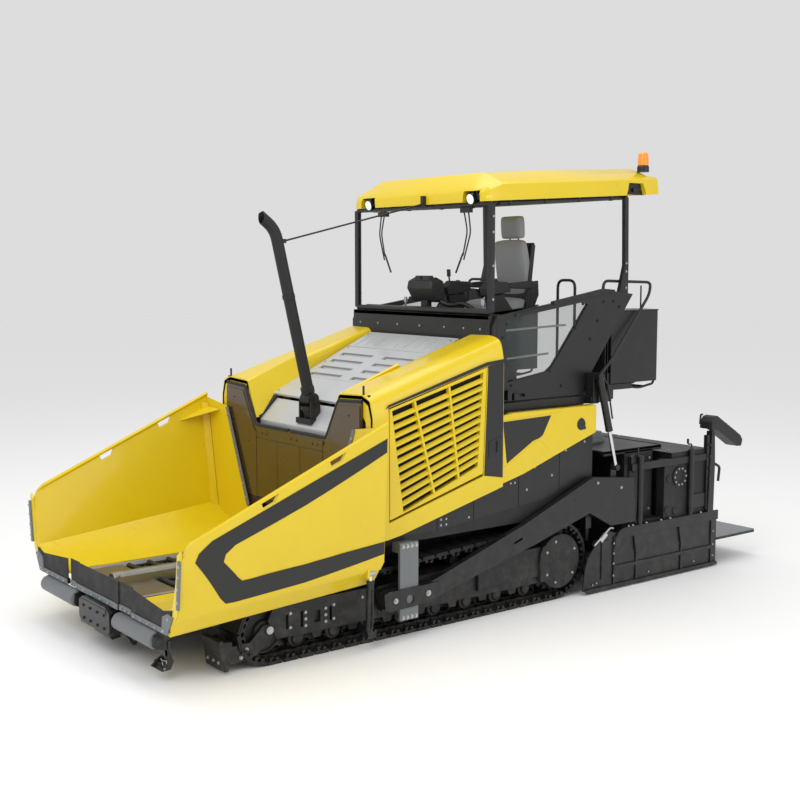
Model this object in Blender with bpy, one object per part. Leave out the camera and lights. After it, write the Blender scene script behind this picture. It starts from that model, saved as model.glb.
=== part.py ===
"""Tracked asphalt paver. +Z is up, the hopper faces -Y, the machine's left side is +X."""

import math

import bmesh
import bpy
from mathutils import Matrix, Vector

# Overall driving dimensions, in metres.
TRACK_OUTER = 1.19
TRACK_WIDTH = 0.30
TRACK_THICK = 0.07
SHOE_LIFT = 0.014
ROLLER_COUNT, ROLLER_PITCH = 7, 0.42
IDLER_Y, IDLER_R = -2.60, 0.27
SPROCKET_Y, SPROCKET_R = 0.61, 0.375
SHOE_COUNT = 56
CHASSIS_HALF = 0.60
FRAME_BOTTOM, FRAME_TOP = 0.24, 0.46
TUNNEL_IN, TUNNEL_OUT, TUNNEL_TOP = 0.06, 0.545, 0.95
HOUSING_HALF, HOUSING_TOP = 0.588, 1.0
BODY_FRONT, BODY_REAR = -1.42, 1.0
BODY_HALF = 1.17
BODY_TOP = 1.56
FIREWALL_Y = -1.60
PLATE = 0.03
FLOOR_TOP = 0.54
WING_FRONT, WING_REAR = -3.47, -1.64
WING_HINGE = (0.60, 0.53)
WING_PIN_R = 0.02
PLATFORM_FRONT, PLATFORM_REAR = -0.16, 1.40
PLATFORM_TOP = 1.92
COCKPIT_HALF = 1.05
SILL_TOP = 2.70
SEAT_PLACE, SEAT_TOP = (0.28, 0.60), 2.80
ROOF_FRONT, ROOF_REAR = -0.16, 2.10
ROOF_HALF, ROOF_RIM, ROOF_CROWN = 1.05, 0.13, 0.26
POST_X = 1.02
POST_R = 0.025
POST_FOOT = (-0.12, SILL_TOP + POST_R)
POST_RISE = 0.975
REAR_POST_FOOT = (1.62, 2.83)
EXHAUST_FOOT = (0.12, -1.48, 1.96)
EXHAUST_EYE = (0.12, -1.80, 3.36)
EXHAUST_R = 0.055
EXHAUST_PIVOT_R = 0.06
EYE_HALF = 0.03
ROOF_LIFT = 0.02
TIE_ROOF = (0.12, -0.2003, POST_FOOT[1] + POST_RISE + ROOF_LIFT)
BEACON_X, BEACON_Y = 0.91, 2.0
BEACON_R, BEACON_TOP = 0.06, 0.57
TOW_PIN = (-1.27, 0.35)
TOW_PIN_R = 0.04
ARM_IN, ARM_OUT = 1.20, 1.27
SCREED_HALF = 1.20
SCREED_FRONT, SCREED_REAR = 1.47, 2.05
SCREED_TOP = 0.62
DECK_TOP = 1.34
END_PLATE_X = 1.245
AUGER_Y, AUGER_Z, AUGER_R = 1.235, 0.30, 0.165
LIFT_TOP = (1.08, 2.10)
LIFT_EYE = (1.33, 1.20)
LIFT_X = 1.235
WING_LIFT_Y = -1.73
WING_LIFT_FOOT = (1.36, 0.14)
WING_LIFT_EYE = (1.385, 0.655)
PUSH_PIVOT_Y = -3.30
ROLLER_Y, ROLLER_Z, ROLLER_R = -3.49, 0.35, 0.07
ROLLER_IN, ROLLER_OUT = 0.40, 1.07
LID_HINGE = (-0.20, 2.46)
GRILLE_FRONT = -1.43
GRILLE_HINGE_X = 1.242
WALKWAY_HINGE = (2.825, 0.285)

# Clearances, in metres.
GAP = 0.0003
FREE = 0.008

PAINTS = {
    "yellow": ((0.80, 0.62, 0.02), 0.35, 0.0),
    "black": ((0.02, 0.02, 0.022), 0.5, 0.0),
    "steel": ((0.45, 0.45, 0.45), 0.4, 0.9),
    "silver": ((0.6, 0.6, 0.6), 0.35, 0.6),
    "glass": ((0.6, 0.65, 0.65), 0.05, 0.0),
    "grey": ((0.25, 0.25, 0.26), 0.6, 0.0),
    "amber": ((0.9, 0.3, 0.02), 0.3, 0.0),
}


def clear_scene():
    """Remove whatever the start-up scene holds."""
    for item in list(bpy.data.objects):
        bpy.data.objects.remove(item)


def collection_named(name, hidden=False):
    """New collection in the scene, left out of renders when hidden."""
    made = bpy.data.collections.new(name)
    made.hide_render = hidden
    bpy.context.scene.collection.children.link(made)
    return made


def paint_for(name, paint):
    """Material of one node in one of the paints."""
    color, roughness, metallic = PAINTS[paint]
    made = bpy.data.materials.new(name + "_" + paint)
    made.use_nodes = True
    shader = made.node_tree.nodes["Principled BSDF"]
    shader.inputs["Base Color"].default_value = (*color, 1.0)
    shader.inputs["Roughness"].default_value = roughness
    shader.inputs["Metallic"].default_value = metallic
    return made


def from_bmesh(bm):
    """Hidden helper object with the mesh that bm holds."""
    bmesh.ops.recalc_face_normals(bm, faces=bm.faces)
    mesh = bpy.data.meshes.new("shape")
    bm.to_mesh(mesh)
    bm.free()
    made = bpy.data.objects.new("shape", mesh)
    HELPERS.objects.link(made)
    made.hide_render = True
    made.display_type = "WIRE"
    return made


def loft(rings):
    """Closed solid through rings of points, with a flat cap at each end."""
    bm = bmesh.new()
    rows = [[bm.verts.new(point) for point in ring] for ring in rings]
    for lower, upper in zip(rows, rows[1:]):
        for i in range(len(lower)):
            j = (i + 1) % len(lower)
            bm.faces.new((lower[i], lower[j], upper[j], upper[i]))
    for cap in (rows[0], rows[-1]):
        bm.faces.new(cap)
    bmesh.ops.triangulate(bm, faces=bm.faces)
    return from_bmesh(bm)


def prism_x(outline, x0, x1):
    """Solid with a (y, z) outline between two x positions."""
    return loft([[(x, y, z) for y, z in outline] for x in (x0, x1)])


def prism_y(outline, y0, y1):
    """Solid with an (x, z) outline between two y positions."""
    return loft([[(x, y, z) for x, z in outline] for y in (y0, y1)])


def prism_z(outline, z0, z1):
    """Solid with an (x, y) outline between two heights."""
    return loft([[(x, y, z) for x, y in outline] for z in (z0, z1)])


def box(x0, x1, y0, y1, z0, z1):
    """Block between two corners."""
    return prism_z([(x0, y0), (x1, y0), (x1, y1), (x0, y1)], z0, z1)


def rod(start, end, radius, sides=24):
    """Round bar between two points."""
    a, b = Vector(start), Vector(end)
    bm = bmesh.new()
    turn = (b - a).to_track_quat("Z", "Y").to_matrix().to_4x4()
    bmesh.ops.create_cone(
        bm,
        cap_ends=True,
        segments=sides,
        radius1=radius,
        radius2=radius,
        depth=(b - a).length,
        matrix=Matrix.Translation((a + b) / 2) @ turn,
    )
    return from_bmesh(bm)


def pipe(points, radius, sides=12):
    """Round tube through points, mitred at each bend."""
    points = [Vector(p) for p in points]
    rings = []
    side = None
    for i, point in enumerate(points):
        before = (point - points[i - 1]).normalized() if i else None
        after = (points[i + 1] - point).normalized() if i + 1 < len(points) else None
        along = (before or after) if not (before and after) else (before + after).normalized()
        stretch = 1.0 if not (before and after) else 1.0 / max(0.5, along.dot(after))
        if side is None:
            side = along.orthogonal().normalized()
        side = (side - along * side.dot(along)).normalized()
        across = along.cross(side)
        bend = (after - before) if (before and after) else None
        if bend is not None and bend.length > 1e-6:
            inward = (bend - along * bend.dot(along)).normalized()
        else:
            inward, stretch = side, 1.0
        ring = []
        for k in range(sides):
            angle = 2 * math.pi * k / sides
            offset = (side * math.cos(angle) + across * math.sin(angle)) * radius
            offset += inward * offset.dot(inward) * (stretch - 1.0)
            ring.append(tuple(point + offset))
        rings.append(ring)
    return loft(rings)


def ring_box(outline_outer, outline_inner, x0, x1):
    """Loop with an outer and an inner (y, z) outline, open through the middle."""
    bm = bmesh.new()
    sets = []
    for outline in (outline_outer, outline_inner):
        sets.append([[bm.verts.new((x, y, z)) for y, z in outline] for x in (x0, x1)])
    for near, far in sets:
        for i in range(len(near)):
            j = (i + 1) % len(near)
            bm.faces.new((near[i], near[j], far[j], far[i]))
    for side in (0, 1):
        edges = []
        for rows in sets:
            row = rows[side]
            for i in range(len(row)):
                edges.append(bm.edges.get((row[i], row[(i + 1) % len(row)])))
        bmesh.ops.triangle_fill(bm, use_beauty=True, use_dissolve=False, edges=edges)
    return from_bmesh(bm)


def solid(name, paint, adds, cuts=(), pivot=(0.0, 0.0, 0.0), solver="EXACT"):
    """One named node: the shapes in adds joined, then the shapes in cuts removed."""
    base = adds[0]
    HELPERS.objects.unlink(base)
    PARTS.objects.link(base)
    base.hide_render = False
    base.display_type = "TEXTURED"
    base.name = name
    base.data.name = name
    base.data.materials.append(paint_for(name, paint))
    base.data.transform(Matrix.Translation(-Vector(pivot)))
    base.location = pivot
    for operation, shapes in (("UNION", adds[1:]), ("DIFFERENCE", cuts)):
        for shape in shapes:
            modifier = base.modifiers.new(operation.lower(), "BOOLEAN")
            modifier.operation = operation
            modifier.solver = solver
            modifier.object = shape
    return base


def side_name(s):
    """Name of the side that s points to."""
    return "left" if s > 0 else "right"


def flip(outline, s):
    """Outline with its first coordinate turned to side s."""
    return [(s * a, b) for a, b in outline]


# ---- tracks ----


def track_loop(offset, teeth):
    """Outline of the track at a distance outside its wheels' pitch, with its shoes."""
    rear_r, front_r = SPROCKET_R + offset, IDLER_R + offset
    slope = math.atan2(SPROCKET_R - IDLER_R, SPROCKET_Y - IDLER_Y)
    span = math.hypot(SPROCKET_R - IDLER_R, SPROCKET_Y - IDLER_Y)
    rear_arc = (math.pi + 2 * slope) * rear_r
    front_arc = (math.pi - 2 * slope) * front_r
    run = math.sqrt(span**2 - (SPROCKET_R - IDLER_R) ** 2)
    total = rear_arc + front_arc + 2 * run

    def at(distance, lift):
        distance %= total
        if distance < run:
            return (IDLER_Y + distance, IDLER_R - front_r - lift)
        distance -= run
        if distance < rear_arc:
            angle = -math.pi / 2 + distance / rear_r
            return (
                SPROCKET_Y + (rear_r + lift) * math.cos(angle),
                SPROCKET_R + (rear_r + lift) * math.sin(angle),
            )
        distance -= rear_arc
        top = math.pi / 2 + 2 * slope
        normal = (math.cos(top), math.sin(top))
        if distance < run:
            start = (SPROCKET_Y + rear_r * normal[0], SPROCKET_R + rear_r * normal[1])
            along = (-normal[1], normal[0])
            return (
                start[0] + along[0] * distance + normal[0] * lift,
                start[1] + along[1] * distance + normal[1] * lift,
            )
        distance -= run
        angle = top + distance / front_r
        return (
            IDLER_Y + (front_r + lift) * math.cos(angle),
            IDLER_R + (front_r + lift) * math.sin(angle),
        )

    if not teeth:
        return [at(total * i / 90, 0.0) for i in range(90)]
    outline = []
    pitch = total / SHOE_COUNT
    for i in range(SHOE_COUNT):
        start = i * pitch
        outline += [at(start, 0.0), at(start + 0.08 * pitch, 0.0)]
        outline += [at(start + 0.16 * pitch, SHOE_LIFT), at(start + 0.92 * pitch, SHOE_LIFT)]
    return outline


def build_tracks():
    """Tracks as closed loops, and the frames with their wheels inside."""
    for s in (1, -1):
        x0, x1 = s * (TRACK_OUTER - TRACK_WIDTH), s * TRACK_OUTER
        outer = track_loop(-SHOE_LIFT, True)
        inner = track_loop(-TRACK_THICK, False)
        solid("track_" + side_name(s), "black", [ring_box(outer, inner, x0, x1)])
        wheel_in, wheel_out = s * (TRACK_OUTER - 0.25), s * (TRACK_OUTER - 0.05)
        inner_r = TRACK_THICK + FREE
        beam = [(-2.45, 0.13), (0.42, 0.13), (0.42, 0.54), (-0.2, 0.54), (-2.45, 0.43)]
        adds = [prism_x(beam, s * 0.915, s * 1.165)]
        for y, radius in ((IDLER_Y, IDLER_R), (SPROCKET_Y, SPROCKET_R)):
            adds.append(rod((wheel_in, y, radius), (wheel_out, y, radius), radius - inner_r, 40))
        for i in range(ROLLER_COUNT):
            y = -2.28 + i * ROLLER_PITCH
            z = 0.145
            adds.append(rod((s * 0.96, y, z), (s * 1.12, y, z), z - TRACK_THICK - GAP, 24))
        hub_in, hub_out = (s * 1.1, SPROCKET_Y, SPROCKET_R), (s * 1.225, SPROCKET_Y, SPROCKET_R)
        adds.append(rod(hub_in, hub_out, 0.26, 40))
        solid("track_frame_" + side_name(s), "black", adds)


# ---- chassis ----


def build_chassis():
    """Main frame, conveyor housing, lower body, hopper floor, bulkhead and engine."""
    adds = [box(-CHASSIS_HALF, CHASSIS_HALF, -3.16, BODY_REAR, FRAME_BOTTOM, FRAME_TOP)]
    for y in (-1.9, -0.5):
        adds.append(box(-0.915 + GAP, 0.915 - GAP, y, y + 0.35, 0.26, 0.42))
    adds.append(box(-0.12, 0.12, -3.37, -3.10, 0.35, 0.42))
    adds.append(box(-0.12, 0.12, -3.37, -3.10, 0.17, 0.25))
    adds.append(rod((0, PUSH_PIVOT_Y, 0.18), (0, PUSH_PIVOT_Y, 0.41), 0.035))
    adds.append(box(-0.06, 0.06, 0.9, AUGER_Y + 0.09, 0.20, 0.45))
    adds.append(box(-0.06, 0.06, BODY_REAR + GAP, AUGER_Y + 0.09, 0.20, 0.60))
    solid("chassis_frame", "black", adds)
    tunnels = []
    for s in (1, -1):
        tunnels.append(box(s * TUNNEL_IN, s * TUNNEL_OUT, -1.9, 1.2, FLOOR_TOP, TUNNEL_TOP))
    front = FIREWALL_Y + GAP
    housing = box(-HOUSING_HALF, HOUSING_HALF, front, BODY_REAR, FRAME_TOP + GAP, HOUSING_TOP)
    solid("tunnel_housing", "black", [housing], tunnels)
    adds = [box(-BODY_HALF, BODY_HALF, BODY_FRONT, BODY_REAR + 0.02, HOUSING_TOP + GAP, 1.08)]
    for s in (1, -1):
        x = HOUSING_HALF + GAP
        adds.append(box(s * x, s * BODY_HALF, BODY_FRONT, BODY_REAR + 0.02, 0.80, 1.04))
    rear_body = [(-0.40, 1.05), (-0.40, 1.30), (-0.15, BODY_TOP), (1.02, BODY_TOP), (1.02, 1.05)]
    adds.append(prism_x(rear_body, -BODY_HALF, BODY_HALF))
    solid("lower_body", "black", adds)
    half = WING_HINGE[0] - WING_PIN_R - GAP
    adds = [box(-half, half, -3.44, FIREWALL_Y - PLATE - GAP, 0.46 + GAP, FLOOR_TOP)]
    adds.append(box(-0.05, 0.05, -3.40, FIREWALL_Y - PLATE - GAP, FLOOR_TOP - 0.02, 0.64))
    adds.append(box(-half, half, -3.47, -3.43, 0.44, 0.60))
    solid("hopper_floor", "steel", adds)
    wall = [(-1.12, 0.82), (-0.62, 0.82), (-0.62, 0.48), (0.62, 0.48), (0.62, 0.82), (1.12, 0.82)]
    wall += [(1.12, 2.07), (0.733, 2.05), (0.555, 1.70), (-0.555, 1.70), (-0.733, 2.05), (-1.12, 2.07)]
    cuts = []
    for s in (1, -1):
        cuts.append(box(s * TUNNEL_IN, s * TUNNEL_OUT, -1.9, -1.4, FLOOR_TOP, TUNNEL_TOP))
    solid("bulkhead", "black", [prism_y(wall, FIREWALL_Y - PLATE, FIREWALL_Y)], cuts)
    solid("engine_block", "grey", [box(-0.42, 0.42, -1.35, -0.42, 1.08 + GAP, 1.66)])


def wing_ring(y, s):
    """Section of a hopper wing's sheet at y."""
    t = (y - WING_FRONT) / (WING_REAR - WING_FRONT)
    hx = WING_HINGE[0]
    front = [(hx + 0.005, 0.555), (1.15, 0.57), (1.30, 0.65), (1.41, 1.11), (1.46, 1.11)]
    front += [(1.39, 0.60), (1.25, 0.415), (1.225, 0.435), (1.35, 0.60), (1.155, 0.535), (hx + 0.005, 0.52)]
    rear = [(hx + 0.005, 0.555), (1.15, 0.75), (1.31, 0.835), (1.46, 1.90), (1.51, 1.90)]
    rear += [(1.45, 0.75), (1.30, 0.55), (1.27, 0.57), (1.395, 0.745), (1.16, 0.718), (hx + 0.005, 0.52)]
    return [(s * (a + (c - a) * t), y, b + (d - b) * t) for (a, b), (c, d) in zip(front, rear)]


def build_wings():
    """Folding hopper wings with their hinge pins and lift lugs."""
    hx, hz = WING_HINGE
    for s in (1, -1):
        stations = [WING_FRONT + (WING_REAR - WING_FRONT) * i / 6 for i in range(7)]
        sheet = loft([wing_ring(y, s) for y in stations])
        back = [(0.62, 0.56), (1.16, 0.71), (1.33, 0.80), (1.48, 1.88), (1.07, 1.82), (0.70, 0.95)]
        apron = [(0.62, 0.44), (1.24, 0.44), (1.33, 0.62), (1.18, 0.59), (0.62, 0.58)]
        adds = [sheet, prism_y(flip(back, s), WING_REAR - PLATE, WING_REAR - 0.003)]
        adds.append(prism_y(flip(apron, s), WING_FRONT + 0.003, WING_FRONT + 0.03))
        for y in (-3.2, -1.95):
            adds.append(rod((s * hx, y, hz), (s * hx, y + 0.2, hz), WING_PIN_R, 20))
            adds.append(box(s * hx, s * (hx + 0.06), y + 0.004, y + 0.19, hz - 0.006, hz + 0.012))
        ey, ez = WING_LIFT_EYE
        y0, y1 = WING_LIFT_Y - 0.055, WING_LIFT_Y - 0.035
        adds.append(box(s * (ey - 0.04), s * (ey + 0.04), y0, y1, ez - 0.03, ez + 0.12))
        cuts = [box(s * 1.17, s * 1.43, -1.79, -1.5, 0.3, ez + 0.035)]
        solid("hopper_wing_" + side_name(s), "yellow", adds, cuts, (s * hx, WING_REAR, hz), "MANIFOLD")


def cylinder_pair(name, foot, eye, barrel_r, rod_r, body_length, rod_start):
    """Barrel from its foot pin and rod to its eye pin, each a node of its own."""
    a, b = Vector(foot), Vector(eye)
    along = (b - a).normalized()
    across = Vector((1.0, 0.0, 0.0)) if abs(along.y) > 0.05 else Vector((0.0, 1.0, 0.0))
    half, head = barrel_r + 0.0007, body_length
    barrel = [rod(a, a + along * head, barrel_r, 24)]
    barrel.append(rod(a - across * half, a + across * half, barrel_r * 1.05, 24))
    bore = [rod(a + along * (barrel_r * 1.6), a + along * (head + 0.05), rod_r + GAP, 20)]
    solid(name + "_barrel", "black", barrel, bore, pivot=tuple(a))
    rods = [rod(a + along * rod_start, b, rod_r, 20)]
    rods.append(rod(b - across * EYE_HALF, b + across * EYE_HALF, rod_r * 1.5, 20))
    solid(name + "_rod", "steel", rods, pivot=tuple(b))


def build_wing_cylinders():
    """Cylinders that fold the wings, and their feet on the frame."""
    for s in (1, -1):
        foot = (s * WING_LIFT_FOOT[0], WING_LIFT_Y, WING_LIFT_FOOT[1])
        eye = (s * WING_LIFT_EYE[0], WING_LIFT_Y, WING_LIFT_EYE[1])
        cylinder_pair("wing_cylinder_" + side_name(s), foot, eye, 0.034, 0.017, 0.45, 0.06)
        x, z = WING_LIFT_FOOT
        y0, y1 = WING_LIFT_Y + 0.0353, WING_LIFT_Y + 0.055
        bracket = box(s * (1.165 + GAP), s * (x + 0.03), y0, y1, z - 0.03, z + 0.04)
        solid("cylinder_foot_" + side_name(s), "black", [bracket])


def build_push_beam():
    """Swivelling beam at the very front with its two rollers."""
    adds = [box(-0.33, 0.33, -3.53, -3.41, 0.19, 0.425)]
    adds.append(box(-1.10, 1.10, -3.413, -3.385, 0.26, 0.34))
    adds.append(rod((0, PUSH_PIVOT_Y, 0.255), (0, PUSH_PIVOT_Y, 0.345), 0.10, 32))
    adds.append(box(-0.10, 0.10, -3.45, PUSH_PIVOT_Y, 0.255, 0.345))
    for s in (1, -1):
        for x in (ROLLER_IN - 0.018, ROLLER_OUT + GAP):
            adds.append(box(s * x, s * (x + 0.018), -3.53, -3.39, 0.28, 0.42))
    cuts = [rod((0, PUSH_PIVOT_Y, 0.1), (0, PUSH_PIVOT_Y, 0.5), 0.0355)]
    solid("push_beam", "black", adds, cuts, pivot=(0, PUSH_PIVOT_Y, 0.30))
    for s in (1, -1):
        a, b = ROLLER_IN + GAP, ROLLER_OUT
        shape = rod((s * a, ROLLER_Y, ROLLER_Z), (s * b, ROLLER_Y, ROLLER_Z), ROLLER_R, 32)
        solid("push_roller_" + side_name(s), "steel", [shape], pivot=(s * (a + b) / 2, ROLLER_Y, ROLLER_Z))


# ---- hood and cowls ----


def cowl_ring(y, s):
    """Section of a cowl's shell at y."""
    t = (y - FIREWALL_Y) / (PLATFORM_FRONT - FIREWALL_Y)
    outer = [(1.25, 0.90), (1.25, 1.88), (1.225, 2.0), (1.12, 2.09), (0.735, 2.07), (0.70, 1.68)]
    rise = [0.25, 0.42, 0.44, 0.44, 0.46, 0.62]
    points = [(x, z + r * t) for (x, z), r in zip(outer, rise)]
    inner = [(0.74, points[5][1]), (0.775, points[4][1] - 0.045), (1.09, points[3][1] - 0.05)]
    inner += [(1.18, points[2][1] - 0.02), (1.20, points[1][1]), (1.20, points[0][1])]
    return [(s * x, y, z) for x, z in points + inner]


GRILLE = [(GRILLE_FRONT, 1.03), (-0.40, 1.32), (-0.36, 2.26), (GRILLE_FRONT, 1.965)]


def grown(outline, by):
    """Outline moved out by a clearance on all sides."""
    cy = sum(p[0] for p in outline) / len(outline)
    cz = sum(p[1] for p in outline) / len(outline)
    return [(y + math.copysign(by, y - cy), z + math.copysign(by, z - cz)) for y, z in outline]


def door_opening():
    """Outline of the cowl's opening, lower below the door for the corner that swings in."""
    outline = grown(GRILLE, FREE)
    return [(y, z - 2 * FREE) for y, z in outline[:2]] + outline[2:]


def build_hood():
    """Cowls with their grille doors, the hood's front and its lid."""
    y0, y1 = FIREWALL_Y + GAP, PLATFORM_FRONT - GAP
    for s in (1, -1):
        shell = loft([cowl_ring(y0, s), cowl_ring(y1, s)])
        front = [(1.24, 0.92), (1.24, 1.88), (1.215, 1.99), (1.11, 2.08), (0.74, 2.06)]
        front += [(0.72, 1.9), (1.0, 1.9), (1.0, 1.09)]
        front += [(BODY_HALF + 0.02, 1.09), (BODY_HALF + 0.02, 0.92)]
        adds = [shell, prism_y(flip(front, s), y0 + 0.004, y0 + 0.044)]
        below = [(-1.7, 0.5), (-1.7, 0.86), (-1.41, 0.87), (-0.46, 1.09)]
        below += [(-0.28, 1.35), (-0.05, 1.62), (0.02, 1.9), (0.1, 0.5)]
        cuts = [prism_x(door_opening(), s * 1.1, s * 1.4), prism_x(below, s * 1.13, s * 1.45)]
        solid("cowl_" + side_name(s), "yellow", adds, cuts, solver="MANIFOLD")
        door = [prism_x(GRILLE, s * 1.205, s * 1.25)]
        x, y = s * GRILLE_HINGE_X, GRILLE_FRONT
        for z in (1.2, 1.7):
            door.append(rod((x, y, z), (x, y, z + 0.08), FREE - GAP, 16))
        solid("grille_door_" + side_name(s), "yellow", door, pivot=(x, y, 1.4))
    ramp = [(y0 + 0.04, 1.66), (y0 + 0.04, 1.83), (-1.37, 1.93), (-1.37, 1.66)]
    x, y, z = EXHAUST_FOOT
    stub = rod((x, y, 1.75), (x, y, z - EXHAUST_PIVOT_R - GAP), 0.075, 24)
    solid("hood_front", "silver", [prism_x(ramp, -0.6997, 0.6997), stub])
    hy, hz = LID_HINGE
    lid = [(-1.36, 1.90), (-1.36, 1.94), (hy - 0.02, hz + 0.02)]
    lid += [(hy + 0.02, hz + 0.02), (hy + 0.02, hz - 0.02)]
    bar = rod((-0.723, hy, hz), (0.723, hy, hz), 0.018)
    solid("hood_lid", "silver", [prism_x(lid, -0.69, 0.69), bar], pivot=(0, hy, hz))


def build_exhaust():
    """Folding exhaust pipe and the rod that ties it to the roof."""
    x, y, z = EXHAUST_FOOT
    ex, ey, ez = EXHAUST_EYE
    lean = (ey - y) / (ez - z)
    top = ez + 0.10
    bend_y = y + lean * (top - z)
    path = [(x, y, z), (x, bend_y, top), (x, bend_y - 0.07, top + 0.09), (x, bend_y - 0.16, top + 0.13)]
    adds = [pipe(path, EXHAUST_R, 20)]
    adds.append(rod((x - 0.07, y, z), (x + 0.07, y, z), EXHAUST_PIVOT_R, 32))
    adds.append(box(x + 0.0125, x + 0.0225, ey + 0.03, ey + 0.08, ez - 0.018, ez + 0.018))
    solid("exhaust", "grey", adds, pivot=EXHAUST_FOOT)
    eye = (ex, ey + 0.065, ez)
    solid("tie_rod", "steel", [rod(eye, TIE_ROOF, 0.009, 12)], pivot=TIE_ROOF)


# ---- operator platform ----


def build_platform():
    """Operator's platform with its lockers, side walls, glass, seats and console."""
    y0 = PLATFORM_FRONT
    adds = [box(-1.10, 1.10, y0 + 0.02, PLATFORM_REAR, 1.82, PLATFORM_TOP)]
    adds.append(box(-1.12, 1.12, y0 + 0.02, 1.0, BODY_TOP + GAP, 1.83))
    adds.append(box(-COCKPIT_HALF, COCKPIT_HALF, y0, y0 + 0.05, BODY_TOP + GAP, SILL_TOP - GAP))
    for s in (1, -1):
        y0, y1 = LIFT_TOP[0] - 0.05, LIFT_TOP[0] + 0.05
        adds.append(box(s * 1.05, s * (LIFT_X - 0.05), y0, y1, 1.835, 1.91))
        adds.append(box(s * 1.10, s * (LIFT_X - 0.037), y0 + 0.01, y1 - 0.01, 1.84, 2.135))
        adds.append(box(s * 0.72, s * 1.045, 1.44, 2.15, 1.97, 2.71))
        adds.append(box(s * 0.74, s * 1.03, 1.35, 1.50, 1.84, 2.10))
    solid("platform", "black", adds)
    for s in (1, -1):
        strip = [(-0.155, 1.58), (1.05, 1.58), (1.05, 1.83), (-0.03, 1.83), (-0.155, 1.76)]
        skirt = [(-0.155, 1.19), (1.05, 1.57), (1.05, 1.6), (-0.155, 1.6)]
        panel = [prism_x(strip, s * (1.12 + GAP), s * 1.24)]
        panel.append(prism_x(skirt, s * (BODY_HALF + GAP), s * 1.24))
        solid("rear_panel_" + side_name(s), "yellow", panel)
        outline = [(-0.10, PLATFORM_TOP + GAP), (1.0, PLATFORM_TOP + GAP), (1.10, 2.10), (1.69, 2.87)]
        outline += [(1.34, 2.91), (-0.06, 2.70), (-0.10, 2.70)]
        window = [(0.05, 2.05), (0.86, 2.05), (1.40, 2.76), (0.05, 2.58)]
        pin = [rod((s * 1.0, *REAR_POST_FOOT), (s * 1.2, *REAR_POST_FOOT), 0.0155, 20)]
        wall = [prism_x(outline, s * (COCKPIT_HALF + GAP), s * 1.09)]
        solid("side_panel_" + side_name(s), "black", wall, [prism_x(window, s * 1.0, s * 1.2)] + pin)
        cy, cz = [sum(p[k] for p in window) / len(window) for k in (0, 1)]
        glass = [(cy + (y - cy) * 0.9993, cz + (z - cz) * 0.9993) for y, z in window]
        solid("side_glass_" + side_name(s), "glass", [prism_x(glass, s * 1.066, s * 1.072)])
    x, y = SEAT_PLACE
    seat = [box(x - 0.25, x + 0.25, y - 0.24, y + 0.24, SEAT_TOP - 0.14, SEAT_TOP)]
    seat.append(box(x - 0.23, x + 0.23, y + 0.16, y + 0.30, SEAT_TOP - 0.06, SEAT_TOP + 0.60))
    seat.append(box(x - 0.13, x + 0.13, y + 0.18, y + 0.28, SEAT_TOP + 0.58, SEAT_TOP + 0.83))
    seat.append(box(x - 0.16, x + 0.16, y - 0.18, y + 0.18, PLATFORM_TOP + GAP, SEAT_TOP - 0.12))
    solid("seat", "grey", seat)
    front, floor = -0.11 + GAP, PLATFORM_TOP + GAP
    desk = [(front, floor), (front, 2.66), (0.10, 2.72), (0.22, 2.60), (0.12, floor)]
    adds = [prism_x(desk, -0.95, 0.95)]
    adds.append(box(-0.25, 0.05, 0.0, 0.12, 2.6, 3.0))
    solid("console", "black", adds)


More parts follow.
